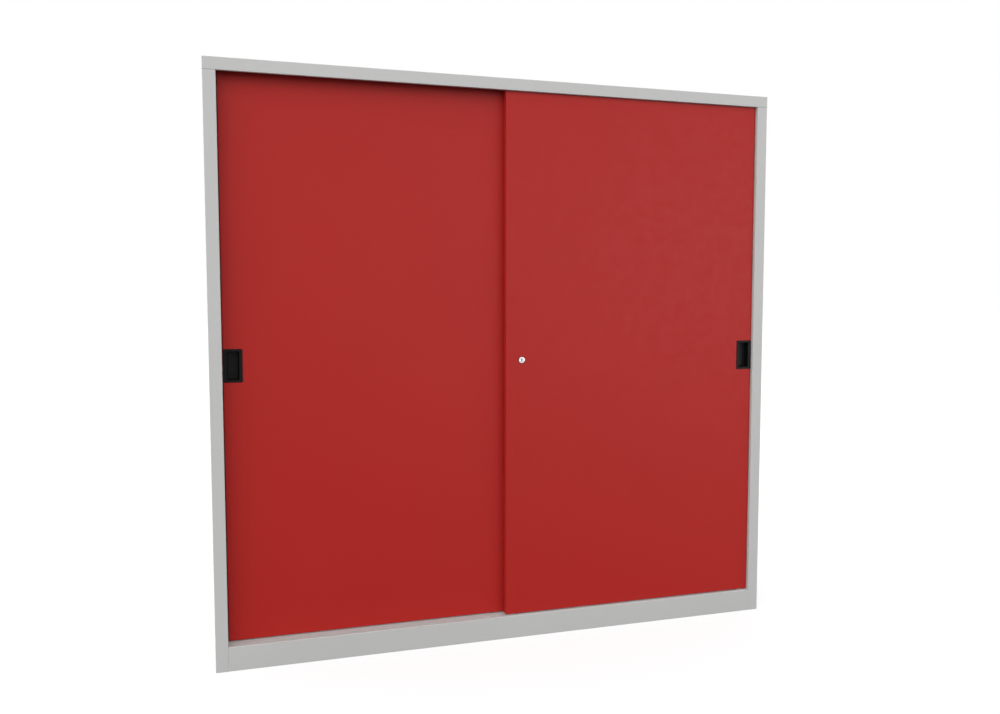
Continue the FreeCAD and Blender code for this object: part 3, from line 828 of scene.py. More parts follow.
def folded(
    name: str,
    profile: Sequence[Coordinates],
    run: Run,
    start: float,
    end: float,
    thickness: float,
    inside: float | Sequence[float] = 0.001,
    segments: int = FOLD_STEPS,
) -> Piece:
    """Sheet folded along a profile and carried straight on.

    Args:
        name: Name of the piece.
        profile: Corner points, as two coordinates each.
        run: Axis that the profile is carried along.
        start: Beginning of the run.
        end: End of the run.
        thickness: Sheet thickness, positive on the left of the profile.
        inside: Inside radius of every fold, or of each profile point.
        segments: Steps round a square fold.

    Returns:
        The folded sheet, closed and facing outwards.
    """
    radii = [inside] * len(profile) if isinstance(inside, float) else inside
    sheet = Piece.strip(name, run, profile[0], profile[1], start, end)

    def drawn_by(corner: Coordinates) -> EdgeTest:
        """Test for the edge that a corner draws along the run."""
        return between(run.place(*corner, start), run.place(*corner, end))

    for corner, following in zip(profile[1:], profile[2:]):
        sheet.pick_edges(drawn_by(corner))
        step = run.place(*following, start) - run.place(*corner, start)
        bpy.ops.mesh.extrude_edges_move(TRANSFORM_OT_translate={"value": tuple(step)})
    for last, corner, following, radius in zip(profile, profile[1:], profile[2:], radii[1:]):
        if radius <= 0:
            continue
        before, after = Vector(corner) - Vector(last), Vector(following) - Vector(corner)
        turn = math.atan2(before.x * after.y - before.y * after.x, before.dot(after))
        radius += abs(thickness) if turn * thickness > 0 else 0.0
        steps = max(2, round(segments * abs(turn) / (math.pi / 2)))
        sheet.pick_edges(drawn_by(corner))
        bpy.ops.mesh.bevel(offset=radius * math.tan(abs(turn) / 2), segments=steps, affect="EDGES")
    sheet.rest()
    first = Vector(profile[1]) - Vector(profile[0])
    left = run.place(-first.y, first.x, 0.0)
    middle = (run.place(*profile[0], start) + run.place(*profile[1], end)) / 2
    nearest = min(sheet.thing.data.polygons, key=lambda face: (face.center - middle).length)
    return sheet.thicken(abs(thickness), math.copysign(1.0, nearest.normal.dot(left) * thickness))


def slot_cutter(low: Coordinates, high: Coordinates, through: Vector, radius: float) -> Piece:
    """A block with its edges along one axis rounded, to cut a slot with."""
    return Piece.block("slot", low, high).pick_edges(along(through)).round_edges(radius, segments=4)


@dataclass(frozen=True)
class Extent:
    """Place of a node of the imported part.

    Attributes:
        low: Lowest corner.
        high: Highest corner.
    """

    low: Vector
    high: Vector

    @classmethod
    def of(cls, node: str) -> "Extent":
        """Extent of a node."""
        low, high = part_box(node)
        return cls(Vector(low), Vector(high))

    @property
    def middle(self) -> Vector:
        """Its middle."""
        return (self.low + self.high) / 2

    def half(self, axis: str) -> float:
        """Half its size along an axis, named x, y or z."""
        return (getattr(self.high, axis) - getattr(self.low, axis)) / 2


# ---- Body ---------------------------------------------------------------------
@dataclass
class Shell:
    """Side panels, top, base, back panels, bearers and partition.

    Attributes:
        sheet: Sheet thickness.
        inside: Inside radius of the folds.
        crisp: Inside radius of a side panel's sharper folds.
        raw: Rounding of the cut edges.
        seam: Open seam between two panels of the front.
        rear_flange: Flange of a side panel that the back lies on.
        jamb_lip: Fold at the back edge of the jamb.
        jamb_depth: Return of the stile, beside the door lanes.
        cap_width: Fold along the top of a side panel.
        top_lip: Lip along the front and rear of the top panel.
        top_side_lip: Lip along its sides.
        plinth_lip: Fold that stands on the floor.
        groove_width: Width of a guide groove.
        groove_depth: Its depth.
        groove_places: Front edge of each groove behind the cabinet's front.
        floor_flange: Flange down each side of the floor.
        bearer_width: Width of a channel under the floor.
        joint_round: Rounding of the back panels where they meet.
        rivet_radius: Head of a rivet in the back panels.
        dish_mouth: Radius of the dish round a rivet, against that of its head.
        dish_floor: Radius of the dish's floor, against that of its mouth.
        rivet_sink: Depth of the dish round a rivet.
        rivet_inset: Rivets from the edge of the back panel.
        rivet_steps: Gaps between rivets along a side.
    """

    sheet: float = 0.001
    inside: float = 0.001
    crisp: float = 0.0003
    raw: float = 0.00015
    seam: float = 0.0001
    rear_flange: float = 0.022
    jamb_lip: float = 0.015
    jamb_depth: float = 0.084
    cap_width: float = 0.020
    top_lip: float = 0.010
    top_side_lip: float = 0.018
    plinth_lip: float = 0.020
    groove_width: float = 0.006
    groove_depth: float = 0.012
    groove_places: tuple[float, float] = (0.014, 0.0505)
    floor_flange: float = 0.040
    bearer_width: float = 0.060
    joint_round: float = 0.0008
    rivet_radius: float = 0.003
    dish_mouth: float = 1.7
    dish_floor: float = 0.7
    rivet_sink: float = 0.0006
    rivet_inset: float = 0.011
    rivet_steps: int = 10

    def build(self) -> None:
        """Make every piece of the shell."""
        self.build_sides()
        self.build_top()
        self.build_base()
        self.build_backs()
        self.build_bearers()
        self.build_partition()

    def build_sides(self) -> None:
        """Side wall, stile and jamb folded from one sheet, closed at the top."""
        at = Extent.of("left_side_panel")
        wall, front, rear = at.low.x, at.low.y, at.high.y
        top = Extent.of("top_panel").low.z - self.seam
        opening = at.high.x
        profile = [
            (wall + self.rear_flange, rear),
            (wall, rear),
            (wall, front),
            (opening, front),
            (opening, front + self.jamb_depth),
            (opening - self.jamb_lip, front + self.jamb_depth),
        ]
        left = folded("left_side_sheet", profile, Run.Z, 0.0, top, self.sheet, self.crisp)
        stile_cap = Piece.block(
            "stile_cap",
            (wall + self.sheet, front + self.sheet, top - self.sheet),
            (opening - self.sheet, front + self.jamb_depth - self.sheet, top - self.raw),
        )
        wall_cap = Piece.block(
            "wall_cap",
            (wall + self.sheet, front + self.jamb_depth, top - self.sheet),
            (wall + self.cap_width, rear - self.sheet, top - self.raw),
        )
        left.join(stile_cap, wall_cap).ease_edges(self.raw)
        right = left.mirrored("right_side_sheet")
        left.dress(BODY_COAT, BODY, ["left_side_panel"])
        right.dress(BODY_COAT, BODY, ["right_side_panel"])

    def build_top(self) -> None:
        """Top, front rail and flanges in one pan, with lips along its lower edge."""
        at = Extent.of("top_panel")
        pan = Piece.block("top_sheet", at.low, at.high)
        middle = (at.middle.x, at.middle.y, at.low.z)
        narrower = (at.half("x") - self.top_side_lip) / (at.half("x") - self.top_lip)
        pan.pick_faces(facing(-AXIS_Z)).inset(self.top_lip).stretch((narrower, 1, 1), middle).delete_faces()
        pan.pick_edges(along(AXIS_X), folds_only=True).round_edges(self.sheet + self.inside, FOLD_STEPS)
        pan.thicken(self.sheet, -1.0).ease_edges(self.raw).dress(BODY_COAT, BODY, ["top_panel"])

    def build_base(self) -> None:
        """Plinth, guide grooves, floor and rear skirt folded from one sheet."""
        at = Extent.of("base_panel")
        front, rear, floor = at.low.y, at.high.y, at.high.z
        profile = [(rear - self.plinth_lip, 0.0), (rear, 0.0), (rear, floor)]
        radii = [self.inside] * 3
        bottom = floor - self.groove_depth
        for place in reversed(self.groove_places):
            near = front + place
            far = near + self.groove_width
            profile += [(far, floor), (far, bottom), (near, bottom), (near, floor)]
            radii += [0.0] * 4
        profile += [(front, floor), (front, 0.0), (front + self.plinth_lip, 0.0)]
        radii += [self.inside] * 3
        clearance = at.low.x - (CAD_BOX[0][0] + self.sheet)
        half = -Extent.of("left_side_panel").high.x - self.seam
        sheet = folded("base_sheet", profile, Run.X, -half, half, self.sheet, radii)
        wing_front = front + self.jamb_depth + clearance
        wing_rear = rear - self.sheet - clearance
        wing = Piece.block(
            "floor_wing",
            (half - self.sheet, wing_front, floor - self.sheet),
            (at.high.x, wing_rear, floor - self.raw / 2),
        )
        flange = Piece.block(
            "floor_flange",
            (at.high.x - self.sheet, wing_front, floor - self.floor_flange),
            (at.high.x, wing_rear, floor - self.raw / 2),
        )
        others = [wing.mirrored("floor_wing_left"), flange.mirrored("floor_flange_left")]
        sheet.join(wing, flange, *others).ease_edges(self.raw).dress(BODY_COAT, BODY, ["base_panel"])

    def rivet_places(self, at: Extent) -> list[tuple[float, float]]:
        """Where the rivets of a back panel sit.

        Args:
            at: Extent of the back panel.

        Returns:
            Places as (x, z), round the panel's outer three sides and its joint.
        """
        left, right = at.low.x + self.rivet_inset, at.high.x - self.rivet_inset
        low, high = at.low.z + self.rivet_inset, at.high.z - self.rivet_inset
        rise, across = (high - low) / self.rivet_steps, self.rivet_steps // 2
        step = (right - left) / across
        sides = [(x, low + index * rise) for index in range(self.rivet_steps + 1) for x in (left, right)]
        return sides + [(left + index * step, z) for index in range(1, across) for z in (low, high)]

    def build_backs(self) -> None:
        """Two back panels, each with a dish round every sunk rivet."""
        for side in ("left", "right"):
            node = f"{side}_back_panel"
            at = Extent.of(node)
            front, back = at.high.y - self.rivet_sink, at.high.y + self.rivet_sink
            panel = Piece.block(f"{side}_back_sheet", at.low, at.high)
            dishes, rivets = [], []
            mouth, narrower = self.dish_mouth * self.rivet_radius, (self.dish_floor, 1, self.dish_floor)
            for x, z in self.rivet_places(at):
                place = Vector((x, at.high.y, z))
                dish = Piece.spindle("dish", mouth, place, front, back, sides=24)
                dish.pick_faces(facing(-AXIS_Y)).stretch(narrower, place)
                dishes.append(dish)
                rivets.append(self.rivet(x, front, z))
            panel.pick_edges(lambda a, b: min(a.y, b.y) > at.high.y - NEAR and max(abs(a.x), abs(b.x)) < PAST)
            panel.round_edges(self.joint_round).cut(Piece.gather("dishes", dishes)).ease_edges(self.raw)
            panel.dress(BODY_COAT, BODY, [node])
            Piece.gather(f"{side}_back_rivets", rivets).dress(ZINC, BODY, smooth=50.0)

    def rivet(self, x: float, seat: float, z: float) -> Piece:
        """Domed head of a blind rivet in the bottom of its dish.

        Args:
            x: Its place across the cabinet.
            seat: Its seat, as a y place.
            z: Its height.

        Returns:
            The rivet head.
        """
        rise, shoulder, rim, hole, hole_wall, hole_depth = 0.9, 0.6, 0.35, 0.7, 0.0001, 0.5
        place, crown = Vector((x, seat, z)), seat + rise * self.rivet_sink
        head = Piece.spindle("rivet", self.rivet_radius, place, seat - self.sheet / 4, crown, sides=16)
        head.pick_faces(facing(AXIS_Y)).stretch((shoulder, 1, shoulder), place).inset(self.rivet_radius * rim)
        return head.stretch((hole, 1, hole), place).inset(hole_wall, -self.rivet_sink * hole_depth)

    def build_bearers(self) -> None:
        """Channels that carry the floor."""
        at = Extent.of("floor_bearers")
        half, channels = self.bearer_width / 2, []
        for x in (at.low.x + half, 0.0, at.high.x - half):
            left, right = x - half, x + half
            corners = [(left, at.low.z), (left, at.high.z), (right, at.high.z), (right, at.low.z)]
            channels.append(folded("channel", corners, Run.Y, at.low.y, at.high.y, -self.sheet, self.inside))
        Piece.gather("floor_channels", channels).ease_edges(self.raw).dress(ZINC, BODY, ["floor_bearers"])

    def build_partition(self) -> None:
        """Hollow wall between the bays, notched over the top panel's rear lip."""
        at = Extent.of("centre_partition")
        wall = Piece.block("partition", at.low, at.high)
        wall.pick_faces(lambda middle, normal: abs(normal.z) > ALONG).delete_faces()
        wall.pick_edges(along(AXIS_Z)).round_edges(self.sheet + self.inside, FOLD_STEPS)
        wall.thicken(self.sheet, -1.0)
        lip_front, lip_foot = at.high.y - self.top_lip - self.raw, Extent.of("top_panel").low.z - self.raw
        notch = Piece.block(
            "notch",
            (at.low.x - self.sheet, lip_front, lip_foot),
            (at.high.x + self.sheet, at.high.y + self.sheet, at.high.z + self.sheet),
        )
        wall.cut(notch).ease_edges(self.raw).dress(BODY_COAT, BODY, ["centre_partition"])


# ---- Shelves ------------------------------------------------------------------
RAIL_SETS = (("side_shelf_rails", 1), ("partition_shelf_rails", -1))    # node, and side of the left bay


@dataclass
class Shelving:
    """Shelves, the slotted rails that carry them and their clips.

    Attributes:
        sheet: Sheet thickness of shelves and rails.
        inside: Inside radius of the folds.
        raw: Rounding of the cut edges.
        lip: Second fold along a shelf's front and rear.
        rail_width: Width of a slotted rail.
        rail_depth: Its depth off the wall.
        slot_width: Width of a slot.
        slot_height: Its height.
        slot_round: Rounding of its corners, against its height.
        slot_count: Slots in a rail.
        slot_spacing: Height from one slot to the next.
        first_slot: First slot above the rail's lower end.
        clip_sheet: Sheet thickness of a clip.
        clip_width: Its width.
        clip_hook: Part that hangs behind the slot.
        clip_drop: Slot to ledge.
        clip_ledge: Ledge out from the rail.
        clip_gap: Play of a clip in its slot.
        clip_folds: Inside radius at each corner of a clip.
        count: Shelves in a bay.
    """

    sheet: float = 0.001
    inside: float = 0.001
    raw: float = 0.00015
    lip: float = 0.012
    rail_width: float = 0.030
    rail_depth: float = 0.008
    slot_width: float = 0.018
    slot_height: float = 0.003
    slot_round: float = 0.49
    slot_count: int = 13
    slot_spacing: float = 0.350 / 3
    first_slot: float = 0.020
    clip_sheet: float = 0.0015
    clip_width: float = 0.016
    clip_hook: float = 0.006
    clip_drop: float = 0.012
    clip_ledge: float = 0.014
    clip_gap: float = 0.0002
    clip_folds: tuple[float, ...] = (0.0, 0.0002, 0.0002, 0.0008, 0.0)
    count: int = 4

    def build(self) -> None:
        """Make every shelf, rail and clip."""
        first = self.shelf("left_shelf_1")
        base = Extent.of("left_shelf_1").low
        for side in ("left", "right"):
            for number in range(1, self.count + 1):
                node = f"{side}_shelf_{number}"
                copy = first.copy(f"shelf_{side}_{number}", Extent.of(node).low - base)
                copy.dress(BODY_COAT, BODY, [node])
        bpy.data.objects.remove(first.thing)
        for node, into_bay in RAIL_SETS:
            self.build_rails(node, into_bay)
        self.build_clips()

    def shelf(self, node: str) -> Piece:
        """Shelf with a double fold at the front and back and a flange at each end.

        Args:
            node: Node that gives its size and place.

        Returns:
            The shelf.
        """
        at = Extent.of(node)
        profile = [
            (at.high.y - self.lip, at.low.z),
            (at.high.y, at.low.z),
            (at.high.y, at.high.z),
            (at.low.y, at.high.z),
            (at.low.y, at.low.z),
            (at.low.y + self.lip, at.low.z),
        ]
        tray = folded("shelf_master", profile, Run.X, at.low.x, at.high.x, self.sheet, self.inside)
        near, far = at.low.y + self.lip + self.sheet, at.high.y - self.lip - self.sheet
        for x in (at.low.x, at.high.x - self.sheet):
            low, high = (x, near, at.low.z), (x + self.sheet, far, at.high.z - self.raw / 2)
            tray.join(Piece.block("shelf_end", low, high))
        return tray.ease_edges(self.raw)

    def build_rails(self, node: str, into_bay: int) -> None:
        """The four slotted rails on one pair of walls.

        Args:
            node: Node that they stand for.
            into_bay: 1 where the left bay lies towards +X of them, otherwise -1.
        """
        at = Extent.of(node)
        wall = at.low.x if into_bay > 0 else at.low.x + self.rail_depth
        rails = []
        for near in (at.low.y, at.high.y - self.rail_width):
            rail = self.rail(wall, into_bay, near, at)
            rails += [rail, rail.mirrored("right_rail")]
        name = node.replace("_shelf", "")
        Piece.gather(name, rails).ease_edges(self.raw).dress(BODY_COAT, BODY, [node])

    def rail(self, wall: float, into_bay: int, near: float, at: Extent) -> Piece:
        """One slotted channel.

        Args:
            wall: Wall that it stands on, as an x place.
            into_bay: 1 where the bay lies towards +X, otherwise -1.
            near: Its front edge.
            at: Extent of all the rails of this kind.

        Returns:
            The rail.
        """
        face = wall + into_bay * self.rail_depth
        far, middle = near + self.rail_width, near + self.rail_width / 2
        profile = [(wall, near), (face, near), (face, far), (wall, far)]
        rail = folded("rail", profile, Run.Z, at.low.z, at.high.z, into_bay * self.sheet, self.inside)
        slots = []
        for index in range(self.slot_count):
            z = at.low.z + self.first_slot + index * self.slot_spacing
            low = (face - 2 * self.sheet, middle - self.slot_width / 2, z)
            high = (face + 2 * self.sheet, middle + self.slot_width / 2, z + self.slot_height)
            slots.append(slot_cutter(low, high, AXIS_X, self.slot_round * self.slot_height))
        return rail.cut(Piece.gather("slots", slots))

    def build_clips(self) -> None:
        """Bent clips hooked in the slots, each with a ledge under a shelf."""
        clips = []
        for node, into_bay in RAIL_SETS:
            at = Extent.of(node)
            face = at.low.x + self.rail_depth if into_bay > 0 else at.low.x
            for near in (at.low.y, at.high.y - self.rail_width):
                for number in range(1, self.count + 1):
                    clip = self.clip(face, into_bay, near, Extent.of(f"left_shelf_{number}").low.z)
                    clips += [clip, clip.mirrored("right_clip")]
        Piece.gather("shelf_clip_set", clips).dress(ZINC, BODY, ["shelf_clips"])

    def clip(self, face: float, into_bay: int, near: float, ledge: float) -> Piece:
        """One clip.

        Args:
            face: Face of the rail, as an x place.
            into_bay: 1 where the bay lies towards +X, otherwise -1.
            near: Front edge of the rail.
            ledge: Height of the shelf's underside.

        Returns:
            The clip.
        """
        tongue = ledge + self.clip_drop + self.clip_gap
        behind = face - into_bay * (self.sheet + self.clip_gap)
        outside = face + into_bay * self.clip_gap
        profile = [
            (behind, tongue - self.clip_hook),
            (behind, tongue),
            (outside, tongue),
            (outside, ledge - self.clip_sheet),
            (face + into_bay * self.clip_ledge, ledge - self.clip_sheet),
        ]
        start = near + self.rail_width / 2 - self.clip_width / 2
        end, thickness = start + self.clip_width, into_bay * self.clip_sheet
        clip = folded("clip", profile, Run.Y, start, end, thickness, self.clip_folds, segments=3)
        return clip.ease_edges(2 * self.raw)


# ---- Tracks -------------------------------------------------------------------
@dataclass
class Tracks:
    """The two tracks with their screws, the stop in the rear one and the buffers on the jambs.

    Attributes:
        sheet: Sheet thickness of a track.
        inside: Inside radius of its folds.
        raw: Rounding of the cut edges.
        tread: Fold that the wheels run on.
        upturn: Edge that keeps the wheels on the tread.
        screw_radius: Head of a screw that holds a track.
        screw_height: Height of that head.
        screw_count: Screws in a track.
        screw_inset: First screw from the end of the track.
        buffer_round: Rounding of a buffer.
        stop_round: Rounding of the stop.
    """

    sheet: float = 0.0015
    inside: float = 0.001
    raw: float = 0.0002
    tread: float = 0.010
    upturn: float = 0.005
    screw_radius: float = 0.0035
    screw_height: float = 0.0022
    screw_count: int = 7
    screw_inset: float = 0.060
    buffer_round: float = 0.00075
    stop_round: float = 0.0012

    def build(self) -> None:
        """Make tracks, stop and buffers."""
        for lane in ("front", "rear"):
            self.build_track(lane)
        soften_node("rear_track_stop", "travel_stop", self.stop_round, NYLON)
        soften_node("door_buffers", "jamb_buffers", self.buffer_round, RUBBER)

    def build_track(self, lane: str) -> None:
        """Rail folded from sheet, with the screws that hold it.

        Args:
            lane: front or rear.
        """
        at = Extent.of(f"{lane}_track")
        profile = [
            (at.low.y, at.high.z),
            (at.high.y, at.high.z),
            (at.high.y, at.low.z),
            (at.high.y - self.tread, at.low.z),
            (at.high.y - self.tread, at.low.z + self.upturn),
        ]
        rail = folded(f"{lane}_rail", profile, Run.X, at.low.x, at.high.x, -self.sheet, self.inside)
        rail.ease_edges(self.raw).dress(ZINC, BODY, [f"{lane}_track"])
        reach, y = at.high.x - self.screw_inset, (at.low.y + at.high.y) / 2 - self.sheet
        screws = []
        for index in range(self.screw_count):
            seat = (-reach + 2 * reach * index / (self.screw_count - 1), y, at.high.z - self.sheet)
            screws.append(screw_head("screw", seat, -AXIS_Z, self.screw_radius, self.screw_height))
        Piece.gather(f"{lane}_track_screws", screws).dress(ZINC, BODY)


def merged_copy(node: str, name: str) -> Piece:
    """A copy of a node's mesh with its loose triangles merged into faces.

    Args:
        node: Node to copy.
        name: Name of the copy.

    Returns:
        The copy, closed, with flat faces whole.
    """
    Piece.clear_bench()
    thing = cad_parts[node].copy()
    thing.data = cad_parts[node].data.copy()
    thing.parent = None
    thing.name = name
    for key in list(thing.keys()):
        del thing[key]
    bpy.context.scene.collection.objects.link(thing)
    piece = Piece(thing)
    piece.edit_all()
    bpy.ops.mesh.remove_doubles(threshold=NEAR)
    bpy.ops.mesh.dissolve_limited(angle_limit=math.radians(1.0))
    return piece.face_outwards()


def soften_node(
    node: str, name: str, radius: float, finish: Finish, body: str = BODY, segments: int = 3
) -> None:
    """A moulded or stamped piece in place of a node made of plain solids.

    Args:
        node: Node that it stands for.
        name: Name of the piece.
        radius: Rounding of its edges.
        finish: What it is made of.
        body: Body that it moves with.
        segments: Steps across the rounding.
    """
    merged_copy(node, name).ease_edges(radius, segments).dress(finish, body, [node])


def screw_head(name: str, seat: Coordinates, out: Vector, radius: float, height: float) -> Piece:
    """Pan head of a screw with a cross recess.

    Args:
        name: Name of the piece.
        seat: Middle of its underside.
        out: Unit vector out of the head.
        radius: Radius of the head.
        height: Height of the head.

    Returns:
        The screw head.
    """
    sunk, domed, arm_reach, arm_width, arm_depth = 0.2, 0.6, 0.6, 0.16, 0.55
    base = Vector(seat)
    tip = base + out * height
    head = Piece.bar(name, radius, base - out * height * sunk, tip, sides=20)
    head.pick_edges(level_with(tip, out)).round_edges(domed * height)
    sideways = Vector((out.z, out.x, out.y))
    other = out.cross(sideways)
    for onward, across in ((sideways, other), (other, sideways)):
        reach = onward * radius * arm_reach + across * radius * arm_width
        ends = (tip - reach - out * height * arm_depth, tip + reach + out * height)
        low, high = ([pick(pair) for pair in zip(*ends)] for pick in (min, max))
        head.cut(Piece.block("recess", low, high))
    return head


# ---- Doors --------------------------------------------------------------------
@dataclass
class FlushPull:
    """Black moulded pull with a deep pocket, let into a door.

    Attributes:
        door: front or rear.
        flange: Thickness of the flange on the door's face.
        mouth_width: Width of the pocket at its mouth.
        mouth_height: Height of the pocket at its mouth.
        wall: Wall thickness of the pocket.
        draft: How much narrower each side is at the pocket's bottom.
        corner: Rounding of the flange's corners.
        rim: Rounding of the flange's front edge.
        mouth_round: Rounding from the flange into the pocket.
        pocket_corner: Rounding of the pocket's inner corners.
        floor_round: Rounding round the pocket's floor.
    """

    door: str
    flange: float = 0.0015
    mouth_width: float = 0.038
    mouth_height: float = 0.092
    wall: float = 0.0015
    draft: float = 0.002
    corner: float = 0.003
    rim: float = 0.0006
    mouth_round: float = 0.0010
    pocket_corner: float = 0.003
    floor_round: float = 0.0020

    def build(self) -> None:
        """Inset, extrude and round the pull out of one flange."""
        node = f"{self.door}_door_handle"
        at = Extent.of(node)
        back = at.low.y + self.flange
        pull = Piece.block(f"{self.door}_pull", at.low, (at.high.x, back, at.high.z))
        pull.pick_faces(facing(-AXIS_Y))
        self.draw(pull, at, at.low.y, at.high.y - self.wall - at.low.y, 0.0)
        pull.pick_faces(facing(AXIS_Y, Vector((0, back, 0))))
        self.draw(pull, at, back, at.high.y - back, self.wall)
        self.soften(pull, at)
        pull.dress(BLACK_PLASTIC, f"{self.door}_door", [node])

    def draw(self, pull: Piece, at: Extent, plane: float, depth: float, wall: float) -> None:
        """Draw the pocket's outline into the selected face and extrude it with the pocket's draft.

        Args:
            pull: The piece.
            at: Extent of the handle.
            plane: The face, as a y place.
            depth: How far to extrude.
            wall: How far the outline stands off the pocket.
        """
        width, height = self.mouth_width + 2 * wall, self.mouth_height + 2 * wall
        border = (at.high.z - at.low.z - height) / 2
        inset_width = at.high.x - at.low.x - 2 * border
        pull.inset(border).stretch((width / inset_width, 1, 1), (at.middle.x, plane, at.middle.z))
        narrow = ((width - 2 * self.draft) / width, 1, (height - 2 * self.draft) / height)
        pull.extrude((0, depth, 0)).stretch(narrow, at.middle)

    def soften(self, pull: Piece, at: Extent) -> None:
        """Round corners, floor, mouth and rim, one after another.

        Args:
            pull: The piece.
            at: Extent of the handle.
        """
        half_width, half_height = self.mouth_width / 2 + NEAR, self.mouth_height / 2 + NEAR

        def within(p: Vector) -> bool:
            """Whether a point lies within the pocket's mouth, seen from the front."""
            return abs(p.x - at.middle.x) < half_width and abs(p.z - at.middle.z) < half_height

        def from_front(a: Vector, b: Vector) -> bool:
            """Whether an edge goes back from the flange's front."""
            return along(AXIS_Y)(a, b) and min(a.y, b.y) < at.low.y + NEAR

        floor = Vector((0, at.high.y - self.wall, 0))
        for pocket, test, radius, steps in (
            (True, from_front, self.pocket_corner, 5),
            (True, level_with(floor), self.floor_round, 4),
            (True, level_with(at.low), self.mouth_round, 3),
            (False, from_front, self.corner, 5),
            (False, level_with(at.low), self.rim, 3),
        ):
            pull.pick_edges(lambda a, b: (within(a) and within(b)) is pocket and test(a, b), folds_only=True)
            pull.round_edges(radius, steps)


@dataclass
class SlidingDoor:
    """Door pan, stiffeners, pull, hangers, wheels and guides.

    Attributes:
        door: front or rear.
        sheet: Sheet thickness.
        fold: Outer radius of the pan's folds.
        raw: Rounding of the cut edges.
        lip: Fold along the back edges of the pan.
        hat_crown: Crown of a stiffener.
        hat_foot: Foot of a stiffener.
        hat_flare: Sideways run of each slanted web.
        hat_height: Height of a stiffener.
        hat_inside: Inside radius of its folds.
        hanger_sheet: Sheet thickness of a hanger.
        hanger_length: Its length.
        hanger_corner: Rounding of a hanger's upper corners.
        bore_play: Play of an axle in a hanger's bore.
        axle_rim: Width of the rim round an axle's sunk ends.
        axle_sink: Depth of those ends.
        fin_length: Length of a guide's fin.
        fin_width: Its width.
        shoe_inset: Middle of a guide from its end.
        shoe_round: Rounding of a guide's edges.
        slot_gap: Play of hangers and fins in their slots.
        barrel_hole: Radius of the hole for the lock, if there is one.
        screw_radius: Head of the screws in a hanger's foot.
        screw_height: Height of that head.
        screw_spread: Screws from the middle of a hanger.
    """

    door: str
    sheet: float = 0.001
    fold: float = 0.002
    raw: float = 0.00015
    lip: float = 0.015
    hat_crown: float = 0.028
    hat_foot: float = 0.015
    hat_flare: float = 0.006
    hat_height: float = 0.020
    hat_inside: float = 0.0015
    hanger_sheet: float = 0.0025
    hanger_length: float = 0.040
    hanger_corner: float = 0.008
    bore_play: float = 0.00005
    axle_rim: float = 0.0006
    axle_sink: float = 0.0003
    fin_length: float = 0.040
    fin_width: float = 0.005
    shoe_inset: float = 0.025
    shoe_round: float = 0.0008
    slot_gap: float = 0.0003
    barrel_hole: float = 0.0092
    screw_radius: float = 0.003
    screw_height: float = 0.002
    screw_spread: float = 0.012

    @property
    def body(self) -> str:
        """Body that the door moves with."""
        return f"{self.door}_door"

    def node(self, part: str) -> str:
        """Name of one of the door's nodes."""
        return f"{self.door}_door_{part}"

    def build(self) -> None:
        """Make every piece of the door."""
        self.build_pan()
        self.build_stiffeners()
        FlushPull(self.door).build()
        self.build_hangers()
        soften_node(self.node("guides"), f"{self.door}_shoes", self.shoe_round, GLIDE_PLASTIC, self.body)
        for end in ("left", "right"):
            Wheel(self.door, end).build()

    def build_pan(self) -> None:
        """Door skin folded back on all sides, with holes for what passes through."""
        at = Extent.of(self.node("panel"))
        pan = Piece.block(f"{self.door}_skin", at.low, at.high)
        pan.pick_faces(facing(AXIS_Y)).inset(self.lip).delete_faces()
        pan.pick_edges(lambda a, b: True, folds_only=True).round_edges(self.fold, FOLD_STEPS)
        pan.thicken(self.sheet, -1.0).cut(*self.holes(at)).ease_edges(self.raw)
        pan.dress(DOOR_COAT, self.body, [self.node("panel")])

    def holes(self, at: Extent) -> list[Piece]:
        """Cutters for the pull, the hangers, the guides and the lock.

        Args:
            at: Extent of the door panel.

        Returns:
            The cutters.
        """
        pull, handle = FlushPull(self.door), Extent.of(self.node("handle")).middle
        grow = pull.wall + self.slot_gap
        reach = Vector((pull.mouth_width / 2 + grow, 0, pull.mouth_height / 2 + grow))
        before, behind = at.low.y - self.sheet, at.low.y + 2 * self.sheet
        low, high = handle - reach, handle + reach
        cutters = [Piece.block("pull_hole", (low.x, before, low.z), (high.x, behind, high.z))]
        upper, lower = at.high.z - 2 * self.sheet, at.low.z - self.sheet
        for part, inset, length, width, floor in (
            ("hangers", self.hanger_length / 2, self.hanger_length, self.hanger_sheet, upper),
            ("guides", self.shoe_inset, self.fin_length, self.fin_width, lower),
        ):
            around, half = Extent.of(self.node(part)), length / 2 + self.slot_gap
            near, far = around.low.y - self.slot_gap, around.low.y + width + self.slot_gap
            for x in (around.low.x + inset, around.high.x - inset):
                low, high = (x - half, near, floor), (x + half, far, floor + 3 * self.sheet)
                cutters.append(Piece.block(f"{part}_slot", low, high))
        if self.door == "front":
            lock = Extent.of("lock_plug").middle
            cutters.append(Piece.spindle("barrel_hole", self.barrel_hole, lock, before, behind))
        return cutters

    def build_stiffeners(self) -> None:
        """Hat sections bonded to the back of the skin."""
        at = Extent.of(self.node("stiffeners"))
        half_crown, crown = self.hat_crown / 2, at.low.y + self.hat_height
        half_base = half_crown + self.hat_flare
        reach = half_base + self.hat_foot
        hats = []
        for x in (at.low.x + reach, at.high.x - reach):
            profile = [
                (x - reach, at.low.y),
                (x - half_base, at.low.y),
                (x - half_crown, crown),
                (x + half_crown, crown),
                (x + half_base, at.low.y),
                (x + reach, at.low.y),
            ]
            hats.append(folded("hat", profile, Run.Z, at.low.z, at.high.z, self.sheet, self.hat_inside))
        stiffeners = Piece.gather(f"{self.door}_hats", hats).ease_edges(self.raw)
        stiffeners.dress(ZINC, self.body, [self.node("stiffeners")])

